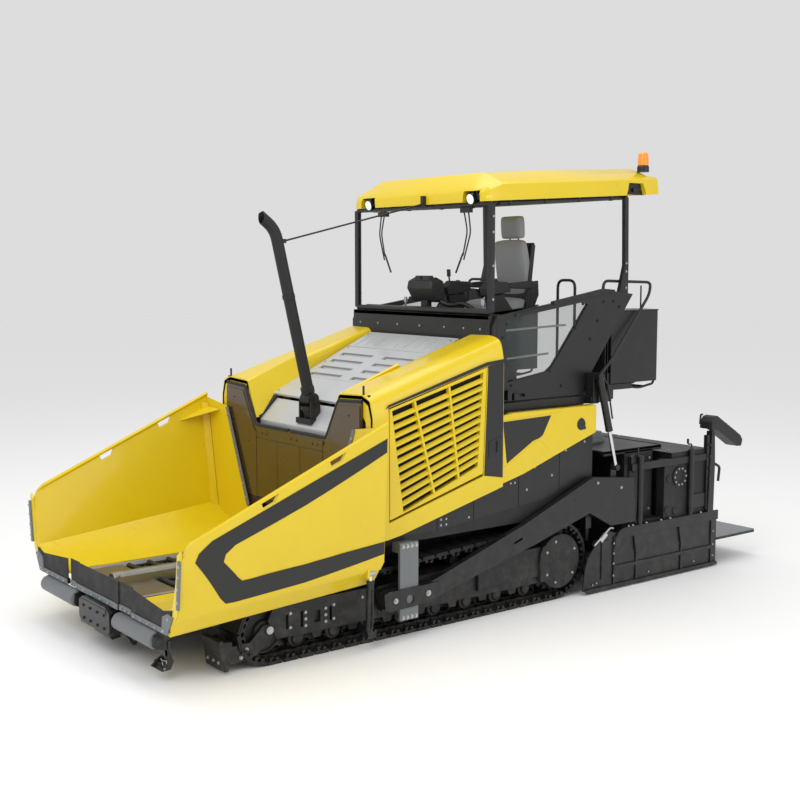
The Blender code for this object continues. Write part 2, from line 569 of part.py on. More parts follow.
def build_canopy():
    """Front and rear posts, and the roof that lies on them."""
    fy, fz = POST_FOOT
    top = fz + POST_RISE
    adds = [rod((-POST_X, fy, fz + GAP), (POST_X, fy, fz + GAP), POST_R, 20)]
    adds.append(rod((-POST_X, fy, top), (POST_X, fy, top), ROOF_LIFT, 20))
    for s in (1, -1):
        adds.append(box(s * (POST_X - 0.03), s * (POST_X + 0.03), fy - 0.022, fy + 0.022, fz, top))
    solid("front_posts", "black", adds, pivot=(0, fy, fz))
    ry, rz = REAR_POST_FOOT
    rtop = rz + POST_RISE
    adds = [rod((-POST_X - 0.03, ry, rtop), (POST_X + 0.03, ry, rtop), ROOF_LIFT, 20)]
    post = [(ry - 0.03, rz), (ry + 0.03, rz), (ry + 0.022, rtop), (ry - 0.022, rtop)]
    for s in (1, -1):
        post_in, post_out = s * (POST_X - 0.02), s * (POST_X + 0.03)
        adds.append(prism_x(post, post_in, post_out))
        adds.append(rod((post_out - s * 0.01, ry, rz), (s * 1.088, ry, rz), 0.015, 20))
        adds.append(rod((post_in, ry, rz), (post_out, ry, rz), 0.03, 20))
    solid("rear_posts", "black", adds, pivot=(0, ry, rz))
    slope = (rtop - top) / (ry - fy)
    base = top + ROOF_LIFT + 2 * GAP

    def roof_ring(y, lower, upper):
        """Section of the roof at y, from its rim to its crown."""
        low = base + slope * (y - fy)
        rim, crown = ROOF_HALF, ROOF_HALF - 0.2
        points = [(-rim, low), (rim, low), (rim, low + lower), (crown, low + upper)]
        points += [(-crown, low + upper), (-rim, low + lower)]
        return [(x, y, z) for x, z in points]

    rings = [roof_ring(ROOF_FRONT, 0.05, 0.06), roof_ring(ROOF_FRONT + 0.16, ROOF_RIM, ROOF_CROWN)]
    rings += [roof_ring(ROOF_REAR - 0.1, ROOF_RIM, ROOF_CROWN), roof_ring(ROOF_REAR, 0.12, 0.20)]
    half, inner = ROOF_HALF - 0.06, ROOF_HALF - 0.25
    hollow_rings = []
    for y in (fy + 0.15, ROOF_REAR - 0.12):
        low = base + slope * (y - fy)
        section = [(-half, low - 0.1), (half, low - 0.1), (half, low + 0.08), (inner, low + 0.20)]
        section += [(-inner, low + 0.20), (-half, low + 0.08)]
        hollow_rings.append([(x, y, z) for x, z in section])
    shade = solid("roof", "yellow", [loft(rings)], [loft(hollow_rings)], pivot=(0, fy, top))
    cross = box(-1.0, 1.0, ry - 0.03, ry + 0.03, rtop + ROOF_LIFT + 2 * GAP, rtop + 0.2)
    low, high = (BEACON_X, BEACON_Y, top + 0.30), (BEACON_X, BEACON_Y, top + BEACON_TOP)
    beacon = rod(low, high, BEACON_R, 24)
    tx, ty, tz = TIE_ROOF
    lug = box(tx - 0.02, tx + 0.02, ty + 0.0024, ty + 0.06, tz - 0.015, base + 0.03)
    for shape in (cross, beacon, lug):
        modifier = shade.modifiers.new("union", "BOOLEAN")
        modifier.operation = "UNION"
        modifier.solver = "EXACT"
        modifier.object = shape


# ---- screed ----


def build_screed():
    """Screed body with its deck, the tow arms and the brackets that hold them."""
    adds = [box(-SCREED_HALF, SCREED_HALF, SCREED_FRONT, SCREED_REAR, 0.03, SCREED_TOP)]
    adds.append(box(-1.0, 1.0, 1.60, SCREED_REAR - 0.03, 0.6, DECK_TOP - 0.02))
    adds.append(box(-SCREED_HALF, SCREED_HALF, 1.50, 1.58, 0.60, 1.05))
    adds.append(box(-0.9, 0.9, 1.57, 1.65, 0.61, 1.0))
    adds.append(box(-1.10, 1.10, 1.30, 2.15, DECK_TOP - 0.05, DECK_TOP))
    solid("screed_frame", "black", adds, pivot=(0, *TOW_PIN))
    arm = [(-1.54, 0.43), (-1.49, 0.26), (-1.0, 0.28), (0.25, 0.60), (0.95, 0.80)]
    arm += [(1.25, 0.64), (1.60, 0.64)]
    arm += [(1.56, 1.08), (0.99, 1.14), (0.85, 1.08), (0.1, 0.80), (-0.9, 0.47)]
    for s in (1, -1):
        hole = rod((s * 1.1, *TOW_PIN), (s * 1.4, *TOW_PIN), TOW_PIN_R + 2 * GAP, 48)
        ey, ez = LIFT_EYE
        lug = [(ey - 0.05, 1.0), (ey + 0.05, 1.0), (ey + 0.03, ez + 0.035), (ey - 0.03, ez + 0.035)]
        adds = [prism_x(arm, s * (ARM_IN + GAP), s * ARM_OUT)]
        adds.append(prism_x(lug, s * (ARM_IN + GAP), s * (LIFT_X - 0.0303)))
        solid("tow_arm_" + side_name(s), "black", adds, [hole], pivot=(s * 1.235, *TOW_PIN))
        ty, tz = TOW_PIN
        adds = [box(s * (ARM_OUT + FREE), s * 1.31, ty - 0.10, ty + 0.10, 0.165, 0.836)]
        adds.append(box(s * (BODY_HALF + GAP), s * 1.30, ty - 0.08, ty + 0.08, 0.74, 0.83))
        adds.append(rod((s * (ARM_IN - 0.004), ty, tz), (s * 1.30, ty, tz), TOW_PIN_R, 48))
        solid("tow_bracket_" + side_name(s), "grey", adds)


def build_lift_cylinders():
    """Cylinders that lift the screed."""
    for s in (1, -1):
        foot = (s * LIFT_X, *LIFT_TOP)
        eye = (s * LIFT_X, *LIFT_EYE)
        cylinder_pair("lift_cylinder_" + side_name(s), foot, eye, 0.036, 0.02, 0.56, 0.40)


def build_extensions():
    """Sliding halves of the screed, their walkways and the augers."""
    for s in (1, -1):
        x0 = s * 0.01
        adds = [box(x0, s * (END_PLATE_X + 0.01), SCREED_REAR + GAP, 2.80, 0.03, 0.58)]
        adds.append(box(s * END_PLATE_X, s * (END_PLATE_X + 0.035), 0.87, 2.87, 0.016, 0.60))
        for y in (1.66, 2.43):
            adds.append(rod((s * 1.262, y, 0.5), (s * 1.262, y, 1.29), 0.03, 20))
        adds.append(box(s * 1.20, s * 1.275, 2.73, 2.77, 0.5, 1.43))
        desk = [(2.70, 1.36), (2.74, 1.56), (2.80, 1.60), (3.24, 1.32), (3.22, 1.24)]
        adds.append(prism_x(desk, s * 1.12, s * 1.29))
        solid("screed_extension_" + side_name(s), "black", adds, pivot=(s * 0.6, 2.42, 0.3))
        adds = [box(s * 0.015, s * 1.235, 2.87, 3.56, 0.27, 0.30)]
        adds.append(rod((s * 0.015, 2.825, 0.285), (s * 1.235, 2.825, 0.285), 0.0245, 16))
        adds.append(box(s * 0.015, s * 1.235, 2.825, 2.88, 0.27, 0.30))
        solid("walkway_" + side_name(s), "black", adds, pivot=(s * 0.6, 2.825, 0.285))
        x0, x1 = s * (0.06 + GAP), s * 1.14
        adds = [rod((x0, AUGER_Y, AUGER_Z), (x1, AUGER_Y, AUGER_Z), 0.035, 16)]
        for i in range(6):
            x = s * (0.16 + i * 0.17)
            adds.append(rod((x, AUGER_Y, AUGER_Z), (x + s * 0.02, AUGER_Y, AUGER_Z), AUGER_R, 24))
        solid("auger_" + side_name(s), "steel", adds, pivot=(s * 0.6, AUGER_Y, AUGER_Z))


clear_scene()
PARTS = collection_named("asphalt_paver")
HELPERS = collection_named("helpers", hidden=True)
build_tracks()
build_chassis()
build_wings()
build_wing_cylinders()
build_push_beam()
build_hood()
build_exhaust()
build_platform()
build_canopy()
build_screed()
build_lift_cylinders()
build_extensions()
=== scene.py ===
"""Looks of a tracked asphalt paver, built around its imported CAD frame.

The hopper faces -Y, the machine's left side is +X and +Z is up, all in metres.
Each sub-assembly is a dataclass that builds and dresses its own pieces.
"""

from __future__ import annotations

import logging
import math
from dataclasses import dataclass
from enum import Enum
from typing import Iterable, Sequence

import bmesh
import bpy
from mathutils import Matrix, Vector


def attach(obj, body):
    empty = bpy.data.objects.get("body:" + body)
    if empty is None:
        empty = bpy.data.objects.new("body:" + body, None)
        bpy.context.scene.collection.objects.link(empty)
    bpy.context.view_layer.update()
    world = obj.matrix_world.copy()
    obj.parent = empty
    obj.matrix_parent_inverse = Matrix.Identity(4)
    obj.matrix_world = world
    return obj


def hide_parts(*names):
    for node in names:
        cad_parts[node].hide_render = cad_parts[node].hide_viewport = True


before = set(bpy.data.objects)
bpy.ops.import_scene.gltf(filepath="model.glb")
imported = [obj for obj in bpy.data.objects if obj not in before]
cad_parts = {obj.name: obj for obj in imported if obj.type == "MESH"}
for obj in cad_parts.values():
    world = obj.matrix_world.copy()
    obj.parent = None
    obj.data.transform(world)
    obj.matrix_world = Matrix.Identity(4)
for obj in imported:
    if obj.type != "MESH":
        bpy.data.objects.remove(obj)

LOG = logging.getLogger("paver")
Point = tuple[float, float, float]
Flat = tuple[float, float]
MM = 0.001


class Side(Enum):
    """The machine's two sides, with the sign of X on each."""

    LEFT = 1
    RIGHT = -1

    @property
    def tag(self) -> str:
        """The side's name in node and body names."""
        return self.name.lower()


# ---- colours and shader nodes ----


def linear(hex_colour: str) -> tuple[float, float, float, float]:
    """Turn an sRGB hex colour into linear RGBA.

    Args:
        hex_colour: Six hex digits.

    Returns:
        Linear red, green, blue and an alpha of 1.
    """
    parts = [int(hex_colour[i : i + 2], 16) / 255 for i in (0, 2, 4)]
    red, green, blue = [c / 12.92 if c <= 0.04045 else ((c + 0.055) / 1.055) ** 2.4 for c in parts]
    return (red, green, blue, 1.0)


def add_node(tree: bpy.types.NodeTree, kind: str, settings: dict | None = None,
    links: dict | None = None) -> bpy.types.Node:
    """Add a shader node with its settings and its incoming links.

    Args:
        tree: The material's node tree.
        kind: The node's Blender type.
        settings: Socket names or numbers to values, and "." names to attributes.
        links: Socket names or numbers to the output sockets they take.

    Returns:
        The new node.
    """
    made = tree.nodes.new(kind)
    for key, value in (settings or {}).items():
        if isinstance(key, str) and key.startswith("."):
            setattr(made, key[1:], value)
        else:
            made.inputs[key].default_value = value
    for key, source in (links or {}).items():
        tree.links.new(source, made.inputs[key])
    return made


@dataclass(frozen=True)
class Finish:
    """A surface: what it is made of, how it was made and how it has worn.

    Sizes of patterns are real ones in millimetres.
    """

    name: str
    colour: str
    slot: str
    roughness: float = 0.5
    metallic: float = 0.0
    coat: float = 0.0
    sheen: float = 0.0
    mottle_mm: float = 400.0
    mottle: float = 0.06
    grain_mm: float = 3.0
    grain_bump: float = 0.05
    grime: float = 0.0
    grime_colour: str = "6b6459"
    grime_height: float = 1.0
    streak: float = 0.0

    def surface(self, tree: bpy.types.NodeTree) -> tuple[bpy.types.NodeSocket, bpy.types.NodeSocket,
        bpy.types.NodeSocket]:
        """Build the colour, roughness and height that every finish starts from.

        Args:
            tree: The material's node tree.

        Returns:
            Output sockets for the colour, the roughness and the bump height.
        """
        place = add_node(tree, "ShaderNodeTexCoord").outputs["Object"]
        cloud = add_node(tree, "ShaderNodeTexNoise", {"Scale": 1000 / self.mottle_mm, "Detail": 5.0},
            {"Vector": place})
        tint = add_node(
            tree,
            "ShaderNodeMapRange",
            {"From Min": 0.3, "From Max": 0.7, "To Min": 1 - self.mottle, "To Max": 1 + self.mottle},
            {"Value": cloud.outputs["Fac"]},
        )
        shaded = add_node(tree, "ShaderNodeHueSaturation", {"Color": linear(self.colour)},
            {"Value": tint.outputs[0]})
        colour = shaded.outputs["Color"]
        grain = add_node(tree, "ShaderNodeTexNoise", {"Scale": 1000 / self.grain_mm, "Detail": 3.0},
            {"Vector": place})
        if self.grime:
            height = add_node(tree, "ShaderNodeSeparateXYZ", links={"Vector": place}).outputs["Z"]
            low = add_node(
                tree,
                "ShaderNodeMapRange",
                {"From Min": self.grime_height, "From Max": 0.0, "To Min": 0.15, "To Max": 1.0},
                {"Value": height},
            )
            spots = add_node(tree, "ShaderNodeTexNoise", {"Scale": 9.0, "Detail": 8.0, "Roughness": 0.7},
                {"Vector": place})
            patch = add_node(
                tree, "ShaderNodeMapRange", {"From Min": 0.45, "From Max": 0.75},
                    {"Value": spots.outputs["Fac"]}
            )
            both = add_node(tree, "ShaderNodeMath", {".operation": "MULTIPLY"},
                {0: low.outputs[0], 1: patch.outputs[0]})
            share = add_node(tree, "ShaderNodeMath", {".operation": "MULTIPLY", 1: self.grime},
                {0: both.outputs[0]})
            mixed = add_node(
                tree,
                "ShaderNodeMix",
                {".data_type": "RGBA", 7: linear(self.grime_colour)},
                {0: share.outputs[0], 6: colour},
            )
            colour = mixed.outputs[2]
        rough = add_node(
            tree,
            "ShaderNodeMapRange",
            {"From Min": 0.3, "From Max": 0.7, "To Min": self.roughness - 0.05,
                "To Max": min(1.0, self.roughness + 0.08)},
            {"Value": cloud.outputs["Fac"]},
        )
        return colour, rough.outputs[0], grain.outputs["Fac"]

    def dress(self, tree: bpy.types.NodeTree, shader: bpy.types.Node) -> None:
        """Link the finish's patterns to its shader."""
        colour, rough, height = self.surface(tree)
        tree.links.new(colour, shader.inputs["Base Color"])
        tree.links.new(rough, shader.inputs["Roughness"])
        self.bump(tree, shader, height, self.grain_mm, self.grain_bump)

    def bump(self, tree: bpy.types.NodeTree, shader: bpy.types.Node, height: bpy.types.NodeSocket,
        size_mm: float, strength: float) -> None:
        """Link a height to the shader's normal, as deep as a tenth of its size."""
        bumped = add_node(
            tree, "ShaderNodeBump", {"Strength": strength, "Distance": size_mm * MM * 0.4}, {"Height": height}
        )
        tree.links.new(bumped.outputs["Normal"], shader.inputs["Normal"])

    def material(self) -> bpy.types.Material:
        """Return the finish's material, built the first time it is asked for."""
        found = bpy.data.materials.get(self.name)
        if found:
            return found
        made = bpy.data.materials.new(self.name)
        made.use_nodes = True
        tree = made.node_tree
        tree.nodes.clear()
        shader = add_node(tree, "ShaderNodeBsdfPrincipled",
            {"Metallic": self.metallic, "Base Color": linear(self.colour)})
        shader.inputs["Coat Weight"].default_value = self.coat
        shader.inputs["Coat Roughness"].default_value = 0.08
        shader.inputs["Sheen Weight"].default_value = self.sheen
        self.dress(tree, shader)
        add_node(tree, "ShaderNodeOutputMaterial", links={"Surface": shader.outputs[0]})
        made.diffuse_color = linear(self.colour)
        return made


@dataclass(frozen=True)
class TreadPlate(Finish):
    """Rolled steel plate with raised bars in alternating directions, so that it glints in small dashes."""

    pitch_mm: float = 45.0

    def dress(self, tree: bpy.types.NodeTree, shader: bpy.types.Node) -> None:
        """Add the raised bars to the plain finish."""
        colour, rough, grain = self.surface(tree)
        place = add_node(tree, "ShaderNodeTexCoord").outputs["Object"]
        bars = add_node(
            tree,
            "ShaderNodeTexVoronoi",
            {"Scale": 1000 / self.pitch_mm, "Randomness": 0.15, ".feature": "F1", ".distance": "CHEBYCHEV"},
            {"Vector": place},
        )
        raised = add_node(
            tree, "ShaderNodeMapRange", {"From Min": 0.34, "From Max": 0.26},
                {"Value": bars.outputs["Distance"]}
        )
        tree.links.new(colour, shader.inputs["Base Color"])
        tree.links.new(rough, shader.inputs["Roughness"])
        self.bump(tree, shader, raised.outputs[0], 6.0, 0.6)


@dataclass(frozen=True)
class SafetyGlass(Finish):
    """Clear tempered glass: you see through it, with a faint grey-green tint and sharp reflections."""

    def dress(self, tree: bpy.types.NodeTree, shader: bpy.types.Node) -> None:
        """Make the shader let most light through and vary its film of dust."""
        shader.inputs["Transmission Weight"].default_value = 0.0
        shader.inputs["Alpha"].default_value = 0.22
        shader.inputs["IOR"].default_value = 1.5
        colour, rough, _ = self.surface(tree)
        tree.links.new(colour, shader.inputs["Base Color"])
        tree.links.new(rough, shader.inputs["Roughness"])


@dataclass(frozen=True)
class Leatherette(Finish):
    """Embossed vinyl seat cover: soft sheen over a fine pebble grain."""

    def dress(self, tree: bpy.types.NodeTree, shader: bpy.types.Node) -> None:
        """Add the pebbled emboss to the plain finish."""
        colour, rough, _ = self.surface(tree)
        place = add_node(tree, "ShaderNodeTexCoord").outputs["Object"]
        pebble = add_node(
            tree, "ShaderNodeTexVoronoi", {"Scale": 1000 / self.grain_mm, ".feature": "DISTANCE_TO_EDGE"},
                {"Vector": place}
        )
        tree.links.new(colour, shader.inputs["Base Color"])
        tree.links.new(rough, shader.inputs["Roughness"])
        self.bump(tree, shader, pebble.outputs["Distance"], self.grain_mm, self.grain_bump)


@dataclass(frozen=True)
class Lens(Finish):
    """Moulded lamp lens: saturated and glossy, with moulded ribs and a painted glow that stands for light off the
    reflector behind.
    """

    glow: float = 0.0

    def dress(self, tree: bpy.types.NodeTree, shader: bpy.types.Node) -> None:
        """Add the moulded ribs and a painted glow that stands for the reflector behind."""
        colour, rough, _ = self.surface(tree)
        place = add_node(tree, "ShaderNodeTexCoord").outputs["Object"]
        ribs = add_node(tree, "ShaderNodeTexWave",
            {"Scale": 1000 / self.grain_mm / 6.28, ".bands_direction": "Z"}, {"Vector": place})
        tree.links.new(colour, shader.inputs["Base Color"])
        tree.links.new(rough, shader.inputs["Roughness"])
        # Painted highlight: this emission stands for the shine of the reflector behind the lens.
        shader.inputs["Emission Color"].default_value = linear(self.colour)
        shader.inputs["Emission Strength"].default_value = self.glow
        self.bump(tree, shader, ribs.outputs["Fac"], self.grain_mm, self.grain_bump)


# Two-pack polyurethane enamel, sprayed: glossy under a clear coat, with faint orange peel.
YELLOW = Finish("yellow_enamel", "e4c606", "yellow_paint", 0.32, 0.0, 0.35, mottle=0.015, grain_mm=5.0,
    grain_bump=0.02, grime=0.25, grime_height=0.7)
# Powder coat over steel: satin black with a fine pebble.
BLACK = Finish("black_powder_coat", "121314", "black_paint", 0.42, 0.0, 0.08, mottle=0.1, grain_mm=2.5,
    grain_bump=0.1, grime=0.3)
# The same coat on parts that face the road, dusted by stone and dry mix.
DUSTY = Finish("dusty_powder_coat", "161718", "black_paint", 0.55, 0.0, 0.0, mottle=0.14, grain_mm=3.0,
    grain_bump=0.15, grime=0.45, grime_height=0.9)
# Forged and hardened track steel: near black, with a dull worn sheen.
TRACK = Finish("forged_track_steel", "2b2a2a", "track_steel", 0.5, 0.45, mottle=0.15, grain_mm=4.0,
    grain_bump=0.25, grime=0.55, grime_height=0.5)
# Ground steel polished by the mix: bright, with soft scuffs.
BARE = Finish("worn_bare_steel", "9a9a98", "bare_steel", 0.38, 0.85, mottle=0.12, mottle_mm=120, grain_mm=2.0,
    grain_bump=0.12)
# Zinc-plated steel fasteners: small cool glints.
ZINC = Finish("zinc_plated_steel", "b4b7b8", "bare_steel", 0.35, 0.9, mottle=0.08, mottle_mm=20)
# Silver-grey metallic enamel on sheet steel: even, with a soft shine.
SILVER = Finish("silver_grey_enamel", "c3c6c8", "silver_paint", 0.36, 0.35, 0.2, mottle=0.03, grain_mm=2.0,
    grain_bump=0.03)
# Grey primer-like coat on castings: matt and even.
GREY = Finish("grey_casting_coat", "74787b", "grey_paint", 0.55, 0.15, mottle=0.08, grain_mm=3.0,
    grain_bump=0.12)
# Charcoal stripe film on the enamel: flat dark, slightly glossy.
CHARCOAL = Finish("charcoal_film", "131414", "black_paint", 0.38, 0.0, 0.1, mottle=0.03, grain_bump=0.02)
# Hard-wearing sheet steel in the mix's path: brown-grey from heat and binder.
HOTPLATE = Finish("mix_worn_plate", "6f6553", "bare_steel", 0.42, 0.6, mottle=0.16, mottle_mm=160,
    grain_mm=3.0, grain_bump=0.15)
# Painted bulkhead that faces the hopper: dark bronze-brown, a painted reflection of what it faces.
REFLECTED_BRONZE = Finish("bronze_painted_reflection", "4f3f22", "black_paint", 0.24, 0.25, 0.5, mottle=0.08, grain_mm=4.0,
    grain_bump=0.02)
# Heat-resistant silicone paint: flat dark grey.
HEAT = Finish("heat_resistant_paint", "242527", "exhaust_paint", 0.5, 0.3, mottle=0.08, grain_mm=2.0,
    grain_bump=0.08)
# Vulcanised sheet rubber: matt grey-black with a bloom.
RUBBER = Finish("sheet_rubber", "252526", "black_paint", 0.75, mottle=0.1, grain_mm=2.0, grain_bump=0.15,
    grime=0.5)
# Injection-moulded ABS: satin dark grey, finely textured.
PLASTIC = Finish("moulded_abs", "1d1e20", "black_paint", 0.5, mottle=0.04, grain_mm=1.5, grain_bump=0.12)
# Painted shade: a near-black sheet set behind grilles and vents, where the housing's inside lies in shade; matt, with
# an open-pored bump.
SHADE_FILL = Finish("painted_shade_fill", "050505", "black_paint", 0.95, mottle=0.1, grain_mm=2.0, grain_bump=0.4)
# Display glass over a dark panel.
SCREEN = Finish("display_glass", "0b0d11", "black_paint", 0.12, coat=0.8, mottle=0.02, grain_bump=0.0)
# Hard chrome on a cylinder rod.
CHROME = Finish("hard_chrome", "d5d8da", "rod_chrome", 0.12, 1.0, mottle=0.02, grain_bump=0.01)
# Diamond-pattern tread plate under black paint.
TREAD = TreadPlate("painted_tread_plate", "292b2d", "black_paint", 0.45, 0.3, mottle=0.12, grime=0.4)
# Bare aluminium tread plate.
BRIGHT_TREAD = TreadPlate("aluminium_tread_plate", "8b8e92", "bare_steel", 0.4, 0.75, mottle=0.1)
GLASS = SafetyGlass("tempered_glass", "5c6464", "window_glass", 0.06, mottle=0.03)
# Light vinyl of the operator's seat.
VINYL = Leatherette("grey_vinyl", "8d9093", "seat_cover", 0.55, sheen=0.2, grain_mm=2.5, grain_bump=0.35,
    mottle=0.05)
# The lenses' glow is a painted highlight of the reflector behind them.
AMBER = Lens("amber_polycarbonate", "f08a1c", "black_paint", 0.18, coat=0.6, grain_mm=9.0, grain_bump=0.4,
    glow=0.25)
CLEAR_LENS = Lens("clear_polycarbonate", "dfe7ea", "black_paint", 0.12, coat=0.8, grain_mm=12.0,
    grain_bump=0.3, glow=0.6)


# ---- solid shapes ----


def rounded(points: Sequence[Point], radius: float, steps: int = 5) -> list[Vector]:
    """Replace each inner corner of a path by an arc-like curve.

    Args:
        points: The path's corners.
        radius: How far from each corner the curve starts.
        steps: How many pieces each curve has.

    Returns:
        The path with its corners rounded.
    """
    corners = [Vector(p) for p in points]
    path = [corners[0]]
    for before, corner, after in zip(corners, corners[1:], corners[2:]):
        reach = min(radius, (before - corner).length * 0.49, (after - corner).length * 0.49)
        start = corner + (before - corner).normalized() * reach
        end = corner + (after - corner).normalized() * reach
        for i in range(steps + 1):
            t = i / steps
            path.append(start * (1 - t) ** 2 + corner * 2 * t * (1 - t) + end * t**2)
    path.append(corners[-1])
    return path


def turned_frame(start: Vector, end: Vector) -> Matrix:
    """Rotation and place that take +Z at the origin to the line from start to end."""
    turn = (end - start).to_track_quat("Z", "Y").to_matrix().to_4x4()
    return Matrix.Translation(start) @ turn


class Shape:
    """Closed solids gathered into one mesh, in the shared frame."""

    def __init__(self) -> None:
        self.bm = bmesh.new()

    def loft(self, rings: Sequence[Sequence[Point]], loop: bool = False) -> "Shape":
        """Add a solid through rings of points.

        Args:
            rings: Rings with the same number of points.
            loop: True if the last ring joins the first, and so no end has a cap.

        Returns:
            This shape.
        """
        rows = [[self.bm.verts.new(point) for point in ring] for ring in rings]
        pairs = list(zip(rows, rows[1:])) + ([(rows[-1], rows[0])] if loop else [])
        for lower, upper in pairs:
            for i in range(len(lower)):
                j = (i + 1) % len(lower)
                self.bm.faces.new((lower[i], lower[j], upper[j], upper[i]))
        if not loop:
            self.bm.faces.new(rows[0])
            self.bm.faces.new(rows[-1])
        return self

    def prism(self, axis: str, outline: Sequence[Flat], low: float, high: float) -> "Shape":
        """Add a solid from a flat outline in the other two axes, between two positions on an axis."""
        place = {"x": lambda a, b, c: (c, a, b), "y": lambda a, b, c: (a, c, b), "z": lambda a, b,
            c: (a, b, c)}[axis]
        return self.loft([[place(a, b, level) for a, b in outline] for level in (low, high)])

    def box(self, x: Flat, y: Flat, z: Flat) -> "Shape":
        """Add a box between two positions on each axis."""
        return self.prism("z", [(x[0], y[0]), (x[1], y[0]), (x[1], y[1]), (x[0], y[1])], *z)

    def turned(self, profile: Sequence[Flat], start: Point, end: Point, sides: int = 32) -> "Shape":
        """Add a solid of revolution.

        Args:
            profile: Distances along the axis and radii there; the ends are capped.
            start: Where the axis starts.
            end: A point that the axis goes towards.
            sides: How many sides each ring has.

        Returns:
            This shape.
        """
        frame_of = turned_frame(Vector(start), Vector(end))
        angles = [2 * math.pi * k / sides for k in range(sides)]
        rings = [
            [tuple(frame_of @ Vector((r * math.cos(a), r * math.sin(a), along))) for a in angles] for along,
                r in profile
        ]
        return self.loft(rings)

    def rod(self, start: Point, end: Point, radius: float, sides: int = 20,
        end_radius: float | None = None) -> "Shape":
        """Add a round bar, or a cone if the end radius differs."""
        length = (Vector(end) - Vector(start)).length
        return self.turned([(0, radius), (length, radius if end_radius is None else end_radius)], start, end,
            sides)

    def pipe(self, points: Sequence[Point], radius: float, bend: float = 0.05, sides: int = 14) -> "Shape":
        """Add a round tube through points with rounded bends."""
        path = rounded(points, bend)
        rings = []
        side = (path[1] - path[0]).normalized().orthogonal().normalized()
        for i, point in enumerate(path):
            along = (path[min(i + 1, len(path) - 1)] - path[max(i - 1, 0)]).normalized()
            side = (side - along * side.dot(along)).normalized()
            across = along.cross(side)
            angles = [2 * math.pi * k / sides for k in range(sides)]
            rings.append([tuple(point + (side * math.cos(a) + across * math.sin(a)) * radius) for a in angles])
        return self.loft(rings)

    def bolt(self, at: Point, toward: Point, radius: float = 0.014) -> "Shape":
        """Add a hexagon head on its washer, standing out from a face in the direction of toward."""
        place, out = Vector(at), Vector(toward).normalized()
        self.rod(tuple(place - out * 0.002), tuple(place + out * radius * 0.25), radius * 1.35, 16)
        return self.rod(tuple(place), tuple(place + out * radius * 0.95), radius, 6)

    def bolts(self, places: Iterable[Point], toward: Point, radius: float = 0.014) -> "Shape":
        """Add a hexagon head at each place."""
        for at in places:
            self.bolt(at, toward, radius)
        return self

    def copied(self, other: "Shape", place: Matrix) -> "Shape":
        """Add a copy of another shape, moved by a matrix."""
        made = {v: self.bm.verts.new(place @ v.co) for v in other.bm.verts}
        for face in other.bm.faces:
            self.bm.faces.new([made[v] for v in face.verts])
        return self

    def mirrored(self, side: Side) -> "Shape":
        """Return this shape, flipped to the right side if that is the one asked for."""
        if side is Side.RIGHT:
            for v in self.bm.verts:
                v.co.x = -v.co.x
        return self


def sunk(target: bpy.types.Object, cutter: Shape) -> None:
    """Cut a shape out of a piece for good."""
    bmesh.ops.recalc_face_normals(cutter.bm, faces=cutter.bm.faces)
    mesh = bpy.data.meshes.new("cutter")
    cutter.bm.to_mesh(mesh)
    cutter.bm.free()
    helper = bpy.data.objects.new("cutter", mesh)
    bpy.context.scene.collection.objects.link(helper)
    cut = target.modifiers.new("opening", "BOOLEAN")
    cut.operation = "DIFFERENCE"
    cut.object = helper
    cut.solver = "EXACT"
    cut.use_self = True
    bpy.context.view_layer.update()
    evaluated = target.evaluated_get(bpy.context.evaluated_depsgraph_get())
    result = bpy.data.meshes.new_from_object(evaluated)
    target.modifiers.clear()
    old, target.data = target.data, result
    bpy.data.meshes.remove(old)
    bpy.data.objects.remove(helper)


def edge_softened(piece: bpy.types.Object, bevel_mm: float, steps: int = 2) -> None:
    """Round a piece's sharp edges, so that they catch light."""
    soft = piece.modifiers.new("edges", "BEVEL")
    soft.width = bevel_mm * MM
    soft.segments = steps
    soft.limit_method = "ANGLE"
    soft.angle_limit = math.radians(32)
    soft.harden_normals = True


def piece_of(
    name: str,
    shape: Shape,
    finish: Finish,
    body: str,
    bevel_mm: float = 2.0,
    replaces: Sequence[str] = (),
    openings: Shape | None = None,
    steps: int = 2,
) -> bpy.types.Object:
    """Make one visible piece from a shape.

    Args:
        name: The piece's name.
        shape: Its solids, which this call uses up.
        finish: What its surface is.
        body: The CAD body that it rides on.
        bevel_mm: Radius of its edges in millimetres, or 0 for none.
        replaces: The CAD nodes that it stands for.
        openings: What is cut out of it.
        steps: How many faces each rounded edge has.

    Returns:
        The piece.
    """
    bmesh.ops.recalc_face_normals(shape.bm, faces=shape.bm.faces)
    mesh = bpy.data.meshes.new(name)
    shape.bm.to_mesh(mesh)
    shape.bm.free()
    piece = bpy.data.objects.new(name, mesh)
    bpy.context.scene.collection.objects.link(piece)
    if openings:
        sunk(piece, openings)
    piece.data.materials.clear()
    piece.data.materials.append(finish.material())
    piece.data.shade_smooth()
    piece.data.set_sharp_from_angle(angle=math.radians(32))
    if bevel_mm:
        edge_softened(piece, bevel_mm, steps)
    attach(piece, body)
    if replaces:
        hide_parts(*replaces)
    LOG.info("%s on %s, %d faces", name, body, len(piece.data.polygons))
    return piece


def dressed(node: str, finish: Finish) -> None:
    """Keep a CAD node as it is and give it a finish."""
    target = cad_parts[node]
    target.data.materials.clear()
    target.data.materials.append(finish.material())
    LOG.info("%s keeps its shape in %s", node, finish.name)


# ---- tracks and running gear ----


